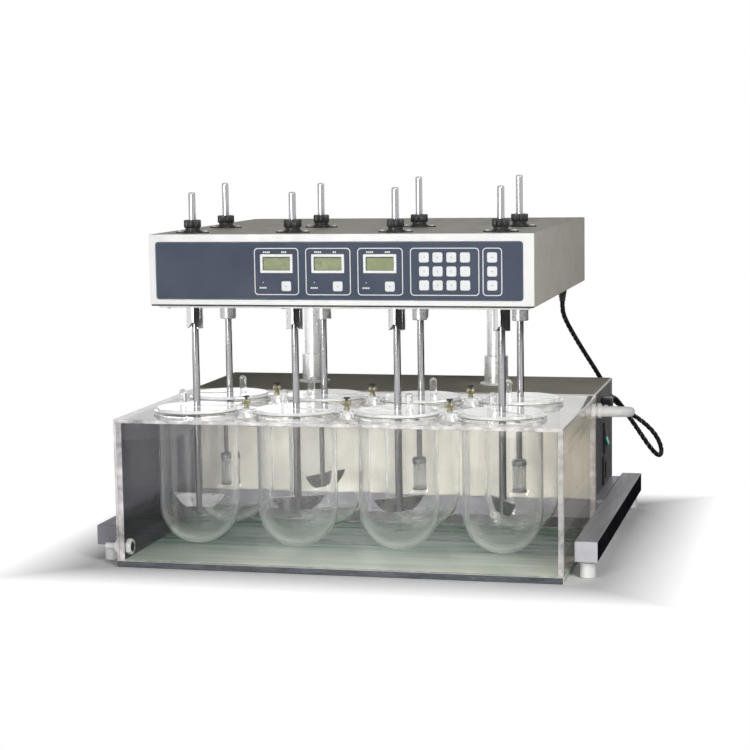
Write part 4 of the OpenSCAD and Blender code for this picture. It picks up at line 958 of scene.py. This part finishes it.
def head():
    shell = Shape(BODY_PAINT)
    cut = sheet_box(shell, (-HEAD_X, HEAD_Y0 + FASCIA_GAP, HEAD_Z), (HEAD_X, HEAD_Y1, HEAD_TOP), 14, 1.6)
    holes = Shape().bores(SPOTS, 13.2, HEAD_TOP - CUT_OUT, HEAD_TOP + CUT_OUT)
    shell.finish("head_shell", "head", "head_cover", slot="enamel_white",
                 cut=cut + [windows(holes, 44.8, 25.2, 8)])
    back = HEAD_Y0 + FASCIA_T
    fascia = Shape(WHITE_PAINT, SHADOW_STRIP_AND_GASKET)
    fascia.box((-HEAD_X, HEAD_Y0, HEAD_Z + SHADOW_STRIP_H), (HEAD_X, back, HEAD_TOP), 0.7)
    # Dark strip under the fascia: painted shadow line between the fascia and the base plate
    fascia.box((-HEAD_X + 1, HEAD_Y0 + 1, HEAD_Z), (HEAD_X - 1, back, HEAD_Z + SHADOW_STRIP_H), 0, 1)
    fascia.finish("head_fascia", "head", "head_cover", slot="enamel_white",
                  cut=[windows(Shape(), 44.8, 25.2, 12)])
    gasket = Shape(SHADOW_STRIP_AND_GASKET)
    side, inner, low, high = HEAD_X - 0.6, HEAD_X - 6, HEAD_Z + 0.4, HEAD_TOP - 0.5
    for x0, x1, z0, z1 in ((-side, -inner, low, high), (inner, side, low, high),
                           (-inner, inner, HEAD_TOP - 6, high), (-inner, inner, low, HEAD_Z + 6)):
        gasket.box((x0, HEAD_Y0 + 1.9, z0), (x1, HEAD_Y0 + 2.8, z1))
    gasket.finish("fascia_gasket", "head", slot="black_rubber")
    reach = (BASE_Z - CUT_OUT, BASE_Z + 7)
    bores = Shape().bores(SPOTS, 13.1, *reach).bores(COLUMNS, 14.15, *reach)
    bores.bores([(GLAND_X, GLAND_Y)], 4.65, *reach, 24)
    Shape(WHITE_PAINT).box((-250, HEAD_Y0 + 9, BASE_Z), (250, HEAD_Y1 - 9, 347.9), 0.5).finish(
        "base_plate", "head", "head_base_plate", slot="enamel_white", cut=[bores])
    screws = Shape(STEEL)
    for x in (-240, -80, 80, 240):
        for z in (360, 432):
            screw_head(screws.at(x, HEAD_Y1, z, then=BACKWARDS), SCREW_R)
        for y in (-215, -130, 0, 100, 225):
            screw_head(screws.at(x, y, BASE_Z, then=DOWNWARDS), 3.0)
    screws.finish("head_screws", "head", slot="steel")


PRINT_LEVELS = (-0.1, 0.08)
GROUPS = ((-82.3, 60.6), (-12.2, 60.9), (57.75, 60.5), (142.95, 90.7), (205.3, 25.4))
GROUP_Z, GROUP_H, GROUP_LINE = 394.4, 61.8, 2.3
KEY_PITCH, KEY_Z, KEY_W = 18, 376.9, 13
KEYS = [(x + 13.2, 375.2) for x in DISPLAY_X]
KEYPAD = [(115.9 + KEY_PITCH * c, KEY_Z + KEY_PITCH * r) for r in (2, 1, 0) for c in range(4)]
SIDE_KEYS = [(205.1, KEY_Z + KEY_PITCH * r) for r in range(3)]
KEY_SIGNS = "789/456*123-"
# A sign's bars: place across and up, and whether the bar lies flat
BARS = {"a": (0, 2, 1), "b": (1, 1, 0), "c": (1, -1, 0), "d": (0, -2, 1), "e": (-1, -1, 0), "f": (-1, 1, 0),
        "g": (0, 0, 1)}
SIGN_BARS = {"1": "bc", "2": "abged", "3": "abgcd", "4": "fgbc", "5": "afgcd", "6": "afgedc", "7": "abc",
             "8": "abcdefg", "9": "abcdfg", "-": "g", "/": "d", "*": "a"}


def on_panel(shape, x, z, y=HEAD_Y0 - FILM_T):
    """Places what follows on the panel's face, raised towards the front."""
    return shape.at(x, y, z, then=FRONTWARDS)


def panel():
    film = on_panel(Shape(FILM), PANEL_X, PANEL_Z, HEAD_Y0)
    film.prism(rect(PANEL_W, PANEL_H, 4), 0.02, FILM_T, 0.25)
    film.finish("panel_sheet", "head", "control_panel", slot="panel_film",
                cut=[windows(Shape(), 44.7, 25.1, 14)])
    outer, inner = (rect(PANEL_W - d, PANEL_H - d, r, 6) for d, r in ((0.8, 3.7), (2.8, 2.8)))
    on_panel(Shape(FILM_RIM), PANEL_X, PANEL_Z).border(outer, inner, -0.1, 0.05).finish(
        "panel_rim", "head", slot="panel_film")
    lines = Shape(PRINT)
    for x, w in GROUPS:
        outer, inner = rect(w, GROUP_H, 5, 8), rect(w - GROUP_LINE, GROUP_H - GROUP_LINE, 4, 8)
        on_panel(lines, x, GROUP_Z).border(outer, inner, *PRINT_LEVELS)
    for i, x in enumerate(DISPLAY_X):
        # Plain bars where captions would be, and a lamp
        for start, z, count in ((x - 17, 419.8, 4), (x + 8, 419.8, 3 - i % 2), (x - 22.5, 373, 4)):
            for s in range(count):
                on_panel(lines, start + s * 2.5, z).prism(rect(1.8, 2.2, 0.3, 2), *PRINT_LEVELS)
        on_panel(lines, x - 18.5, 380).prism(rect(1.4, 1.4, 0.6, 3), *PRINT_LEVELS)
    lines.finish("panel_lines", "head", slot="white_plastic")
    pads, marks = Shape(KEY_PAD), Shape(KEY_MARK)
    for x, z in KEYS + KEYPAD + SIDE_KEYS:
        on_panel(pads, x, z).prism(rect(KEY_W, KEY_W, 2.5, 6), -0.1, 0.8, 0.35)
    for (x, z), sign in zip(KEYPAD, KEY_SIGNS):
        for name in SIGN_BARS[sign]:
            bar_x, bar_z, flat = BARS[name]
            w, h = (1.7, 0.45) if flat else (0.45, 1.5)
            on_panel(marks, x + bar_x * 0.85, z + bar_z * 0.8).prism(rect(w, h, 0.15, 2), 0.7, 0.83)
    for x, z in KEYS + SIDE_KEYS:
        on_panel(marks, x, z).prism(rect(3.4, 1.0, 0.4, 3), 0.7, 0.84)
    pads.finish("key_pads", "head", "control_panel", slot="white_plastic")
    marks.finish("key_marks", "head", slot="panel_film")


def displays():
    bezels, glass, shadow = Shape(BEZEL), Shape(LCD), Shape(LCD_DARK)
    front = HEAD_Y0 - 2.2
    outer, inner = rect(44.4, 24.8, 1.4, 6), rect(37.4, 17.8, 0.6, 6)
    rings = ((outer, -9), (outer, -0.5), (inset(outer, 0.5), 0),
             (inset(inner, -0.3), 0), (inner, -0.4), (inner, -9))
    for x in DISPLAY_X:
        on_panel(bezels, x, DISPLAY_Z, front)
        bezels.skin([bezels.level(outline, z) for outline, z in rings], 0, loop=True)
        on_panel(glass, x, DISPLAY_Z, front).prism(rect(37.3, 17.7, 0.6), -8.5, -1.0)
        # A dark frame inside each bezel, wider at the top and left as painted shadow
        on_panel(shadow, x, DISPLAY_Z, front).border(
            rect(37.3, 17.7, 0.6, 4), rect(35.3, 15.3, 0.4, 4, 0.5, -0.6), -1.0, -0.9)
    bezels.finish("display_bezels", "head", "displays", slot="white_plastic")
    glass.finish("display_glass", "head", "displays", slot="display_lens")
    shadow.finish("display_frames_painted_shadow", "head", slot="black_plastic")


CAP_BORE_R = JOURNAL_R + 0.1
BUSH = fillet([(CAP_BORE_R, 345.02), (13, 345.02), (13, 348.02), (17, 348.02), (17, 354),
               (CAP_BORE_R, 354)], 0.4, 2)
SPINDLE = fillet([(BORE_R, HUB_Z, 0.4), (11.5, HUB_Z, 0.8), (11.5, 344.7, 0.6), (JOURNAL_R, 344.7, 0),
                  (JOURNAL_R, 385, 0), (18, 385, 0.5), (18, 397, 0.5), (JOURNAL_R, 397, 0),
                  (JOURNAL_R, 447, 0), (NECK_R, 447, 0), (NECK_R, 456, 0.6), (BORE_R, 456, 0)], 0, 3)
NOTCH = fillet([(-8.3, -1), (8.3, -1), (0, 9.5, 1.0)], 0, 4)
KNOB_BORE = [(0, 449), (7.6, 449), (7.6, 456.3), (5.2, 456.4), (5.2, 460), (6.6, 462), (0, 462)]


def cap_outline():
    """Round cap with an ear at each side."""
    out = []
    for c, s in circle(1, 96):
        ear = 0
        if EAR_X * abs(s) < EAR_R:
            ear = EAR_X * abs(c) + math.sqrt(max(0, EAR_R ** 2 - (EAR_X * s) ** 2))
        out.append((max(CAP_R, ear) * c, max(CAP_R, ear) * s))
    return out


def bearings():
    caps, screws = Shape(BLACK, NYLON), Shape(NYLON)
    outline = cap_outline()
    for x, y in SPOTS:
        caps.at(x, y).prism(outline, HEAD_TOP + 0.02, CAP_Z, 0.4)
        caps.hoop(CAP_BORE_R, 12.5, CAP_Z, 447, 0.4, 2)
        caps.hoop(CAP_BORE_R, 13, 435.5, HEAD_TOP - 0.1)
        caps.lathe(BUSH, 1, n=48, loop=True)
        for side in (-1, 1):
            screw_head(screws.at(x + side * EAR_X, y, CAP_Z), 3.0)
    bore = Shape().bores(SPOTS, CAP_BORE_R, 444, 449)
    caps.finish("bearing_caps", "head", "spindle_bearings", slot="black_plastic", cut=[bore])
    screws.finish("cap_screws", "head", slot="steel")


def spindles():
    for k, x, y in PLACES:
        body = "spindle_%d" % k
        in_hub = Matrix.Translation((0, -3, 0)) @ FRONTWARDS
        notch = Shape().at(x, y, HUB_Z, NOTCH_ANGLES[k - 1], then=in_hub).prism(NOTCH, 0, 23)
        # Rear hubs take the darker, duller steel: painted shade under the head
        Shape(CHROME if k <= 4 else STEEL).at(x, y).lathe(SPINDLE, loop=True).finish(
            "hub_%d" % k, body, body, slot="chrome", cut=[notch])


def chucks():
    for k, x, y in PLACES:
        body = "chuck_%d" % k
        bore = Shape().at(x, y).lathe(KNOB_BORE, n=40)
        Shape(BLACK).at(x, y, 0, 37 * k).prism(lobed(24, 4.6, 6, 12), 450.5, 461.2, 1.5).finish(
            "knob_%d" % k, body, body, slot="black_plastic", cut=[bore])
        Shape(BLACK).at(x, y).hoop(NECK_R + 0.12, 10, 447.1, 450.4, 0.3, 2, n=40).finish(
            "knob_skirt_%d" % k, body, slot="black_plastic")


BASKET_H, BASKET_CAP_H, ROD_DOME_R = 37, 9, 2.6
PADDLE_R, PADDLE_HALF, PADDLE_H, PADDLE_T = 41.5, 37.25, 19, 4
MESH_R, MESH_FLOOR_R, MESH_PITCH, MESH_UPRIGHTS, MESH_RINGS = 10.9, 10.6, 1.1, 44, 34
WIRE_R, RING_WIRE_R = 0.17, 0.16


def rods():
    for k, x, y in PLACES:
        z = (FRONT_TOOL_Z if k <= 4 else REAR_TOOL_Z) + TOOL_RISES[k - 1]
        top = z + ROD_L + ROD_EXTRAS[k - 1]
        body = "rod_%d" % k
        foot = z + BASKET_H + BASKET_CAP_H if k in BASKETS else z
        dome = arc(ROD_DOME_R, 0, math.pi / 2, 6, ROD_R - ROD_DOME_R, top - ROD_DOME_R)
        shaft = [(0, foot), (4.5, foot), (ROD_R, foot + 0.4), *dome, (0, top)]
        Shape(SHAFT).at(x, y).lathe(shaft, n=48).finish("shaft_%d" % k, body, body, slot="chrome")
        tool = basket if k in BASKETS else paddle
        tool(k, x, y, z, body)


def paddle(k, x, y, z, body):
    """A blade whose sides are arcs of the standard's circle."""
    chord = math.sqrt(PADDLE_R ** 2 - PADDLE_HALF ** 2)
    low = chord + PADDLE_H
    end = math.acos(low / PADDLE_R) if low < PADDLE_R else 0
    start = math.acos(chord / PADDLE_R)
    angles = [end + (start - end) * s / 14 for s in range(15)]
    right = [(PADDLE_R * math.sin(a), -PADDLE_R * math.cos(a)) for a in angles]
    outline = right + [(-u, v) for u, v in reversed(right)]
    stand = Matrix.Translation((0, PADDLE_T / 2, z + low)) @ FRONTWARDS
    blade = Shape(BLADE_STEEL).at(x, y, 0, BLADE_ANGLES[k - 1], then=stand)
    blade.prism(outline, 0, PADDLE_T, 0.4).finish("paddle_%d" % k, body, body, slot="steel")


def basket(k, x, y, z, body):
    """A cap with three clips, a foot ring and a wire mesh."""
    top, cap_top = z + BASKET_H, z + BASKET_H + BASKET_CAP_H
    cap = Shape(BLADE_STEEL, CHROME).at(x, y)
    cap.lathe(fillet([(0, top), (12.2, top, 0.4), (12.2, cap_top - 2.5, 1.5), (8.5, cap_top, 0.8),
                      (0, cap_top)], 0, 4, closed=False), n=48)
    cap.hoop(10.2, 12.2, z, z + 3.5, 0.5)
    cap.hoop(10.4, 11.4, z + 34.6, top, 0.3, 2, 1)
    for angle in (30, 150, 270):
        t = math.radians(angle)
        cap.at(x + 11.4 * math.cos(t), y + 11.4 * math.sin(t)).prism(rect(1.6, 1.6, 0.4, 2), z + 28, z + 40)
    cap.finish("basket_cap_%d" % k, body, body, slot="steel")
    mesh = Shape(CHROME).at(x, y)
    for u, v in circle(MESH_R, MESH_UPRIGHTS):
        mesh.tube([(u, v, z + 1.5), (u, v, z + 35.5)], WIRE_R, 4)
    r = RING_WIRE_R
    for j in range(MESH_RINGS):
        rings = []
        for a, b in ((-r, -r), (r, -r), (r, r), (-r, r)):
            grow = 1 + a / MESH_R
            rings.append(mesh.level([(u * grow, v * grow) for u, v in circle(MESH_R)], z + 2 + j + b))
        mesh.skin(rings, 0, loop=True)
    for j in range(-9, 10):
        u = j * MESH_PITCH
        w = math.sqrt(max(0, MESH_FLOOR_R ** 2 - u ** 2))
        mesh.tube([(u, -w, z + 1.4), (u, w, z + 1.4)], WIRE_R, 4)
        mesh.tube([(-w, u, z + 1.2), (w, u, z + 1.2)], WIRE_R, 4)
    mesh.finish("basket_mesh_%d" % k, body, body, slot="steel")


def gland():
    shape = Shape(BLACK, RUBBER).at(GLAND_X, GLAND_Y)
    hex_nut(shape, BASE_Z - 5, BASE_Z, 18)
    shape.pin(4.5, BASE_Z, HEAD_Z)
    boot = [(0, 323), (4.4, 323), *ribs(6, 323.4, 2.7, 4.6, 0.42, 1.5), (7, 339.8), (7, 340.1), (0, 340.1)]
    shape.lathe(boot, 1, n=32)
    shape.finish("gland_boot", "head", "harness_gland", slot="black_plastic")


# CAD pieces that keep their shape

KEPT = {
    "cross_frame": FRAME_PAINT, "circulation_heater": STEEL, "drive_motor": MOTOR_BLACK, "drive_belt": BELT,
    "drive_pulley": STEEL, "lift_motors": MOTOR_BLACK, "lift_screw_left": STEEL, "lift_screw_right": STEEL,
}


def kept_pieces():
    for name, finish in KEPT.items():
        mesh = nodes[name].data
        mesh.materials.clear()
        mesh.materials.append(finish)


# Studio, in metres

LAMPS = (  # name, place, target, size, watts, whether mirrors show it
    ("key", (1.9, -2.4, 2.0), (0, -0.05, 0.25), 0.7, 37, True),
    ("front", (-0.75, -2.75, 0.38), (0, -0.1, 0.2), 0.7, 22, True),
    ("top", (0.3, -2.4, 2.2), (0, 0, 0.3), 1.2, 6, True),
    ("side", (1.1, -1.2, 0.45), (0.1, 0, 0.3), 0.6, 4, False),
    ("back", (-1.3, 2.5, 0.6), (0, 0.2, 0.25), 1.0, 18, False),
)
CARDS = (  # name, first and last angle from the camera's side, radius and height of both edges
    ("card_front", -140, 15, (2.0, 0.105), (2.0, 0.3)),
    ("card_right", -140, -65, (1.6, 0.002), (1.6, 0.13)),
    ("card_left", 95, 140, (1.6, 0.002), (1.6, 0.13)),
    ("card_floor", -150, 60, (0.3, 0.002), (1.5, 0.002)),
)
CARD_STEPS = 12
FILL_COLOR, FILL_STRENGTH = (0.97, 0.98, 1.0, 1), 0.05
FLOOR_HALF, FLOOR_Z, FLOOR_COLOR = 15, -0.0005, (0.88, 0.88, 0.88, 1)
# The floor is white for the camera beyond the object's half sizes, and plain, with its shadow, inside them
OBJECT_HALF_X, OBJECT_HALF_Y = 0.36, 0.30
WHITE_FROM, WHITE_AT = 0.95, 1.25


def backdrop(tree, out, plain, shown):
    """Shows one shader to the camera, to mirrors and through glass, and another to the rest of the scene."""
    path = add(tree, "LightPath").outputs
    seen = path["Is Camera Ray"]
    for name in ("Is Glossy Ray", "Is Transmission Ray"):
        seen = combine(tree, "MAXIMUM", seen, path[name])
    put(tree, tree.nodes[out], {"Surface": mix_shaders(tree, seen, plain, shown)})


def stage_piece(name, finish, points, faces):
    mesh = bpy.data.meshes.new(name)
    mesh.from_pydata(points, [], faces)
    mesh.materials.append(finish)
    obj = show(name, mesh)
    return obj


def world_light():
    world = bpy.data.worlds.new("studio")
    scene.world = world
    world.use_nodes = True
    tree = world.node_tree
    fill = put(tree, tree.nodes["Background"], {"Color": FILL_COLOR, "Strength": FILL_STRENGTH})
    white = add(tree, "Background", {"Color": WHITE, "Strength": 1.0})
    backdrop(tree, "World Output", fill.outputs[0], white.outputs[0])


def floor():
    finish, tree, plain = material("floor")
    put(tree, plain, {"Base Color": FLOOR_COLOR, "Roughness": 0.9, "Specular IOR Level": 0.1})
    lit = add(tree, "Emission", {"Color": WHITE})
    place = add(tree, "SeparateXYZ", {0: coordinates(tree)}).outputs
    across, along = (combine(tree, "DIVIDE", combine(tree, "ABSOLUTE", place[axis], 0), half)
                     for axis, half in (("X", OBJECT_HALF_X), ("Y", OBJECT_HALF_Y)))
    away = combine(tree, "MAXIMUM", across, along)
    whiteness = spread(tree, away, 0, 1, WHITE_FROM, WHITE_AT)
    shown = mix_shaders(tree, whiteness, plain.outputs[0], lit.outputs[0])
    backdrop(tree, "Material Output", plain.outputs[0], shown)
    f, z = FLOOR_HALF, FLOOR_Z
    stage_piece("floor", finish, [(-f, -f, z), (f, -f, z), (f, f, z), (-f, f, z)], [(0, 1, 2, 3)])


def lamps():
    for name, place, target, size, power, mirrored in LAMPS:
        data = bpy.data.lights.new(name, "AREA")
        data.shape = "DISK"
        data.size = size
        data.energy = power
        obj = show(name, data)
        place, target = Vector(place), Vector(target)
        turn = (target - place).to_track_quat("-Z", "Y").to_matrix().to_4x4()
        obj.matrix_world = Matrix.Translation(place) @ turn
        obj.visible_camera = False
        obj.visible_glossy = mirrored


def cards():
    """Dark cards round the object, seen only in its reflections."""
    dark, tree, shader = material("dark_card")
    put(tree, shader, {"Base Color": (0.015, 0.015, 0.015, 1)})
    camera_side = math.atan2(-CAMERA_AT[0], -CAMERA_AT[1])
    for name, start, end, near, far in CARDS:
        points = []
        for s in range(CARD_STEPS + 1):
            t = math.radians(start + (end - start) * s / CARD_STEPS) + camera_side
            points += [(-r * math.sin(t), -r * math.cos(t), z) for r, z in (near, far)]
        faces = [(2 * i, 2 * i + 2, 2 * i + 3, 2 * i + 1) for i in range(CARD_STEPS)]
        obj = stage_piece(name, dark, points, faces)
        obj.visible_camera = obj.visible_diffuse = obj.visible_shadow = False


for build in (aim_camera, hose, harness, rails, feet, housing, columns, bath, vessels, covers, clamps,
              fittings, connectors, rocker, head, panel, displays, bearings, spindles, chucks, rods, gland,
              kept_pieces, world_light, floor, lamps, cards):
    build()

scene.view_settings.view_transform = "Standard"
scene.cycles.max_bounces = 24
scene.cycles.transmission_bounces = 20
scene.cycles.glossy_bounces = 8
scene.cycles.transparent_max_bounces = 40
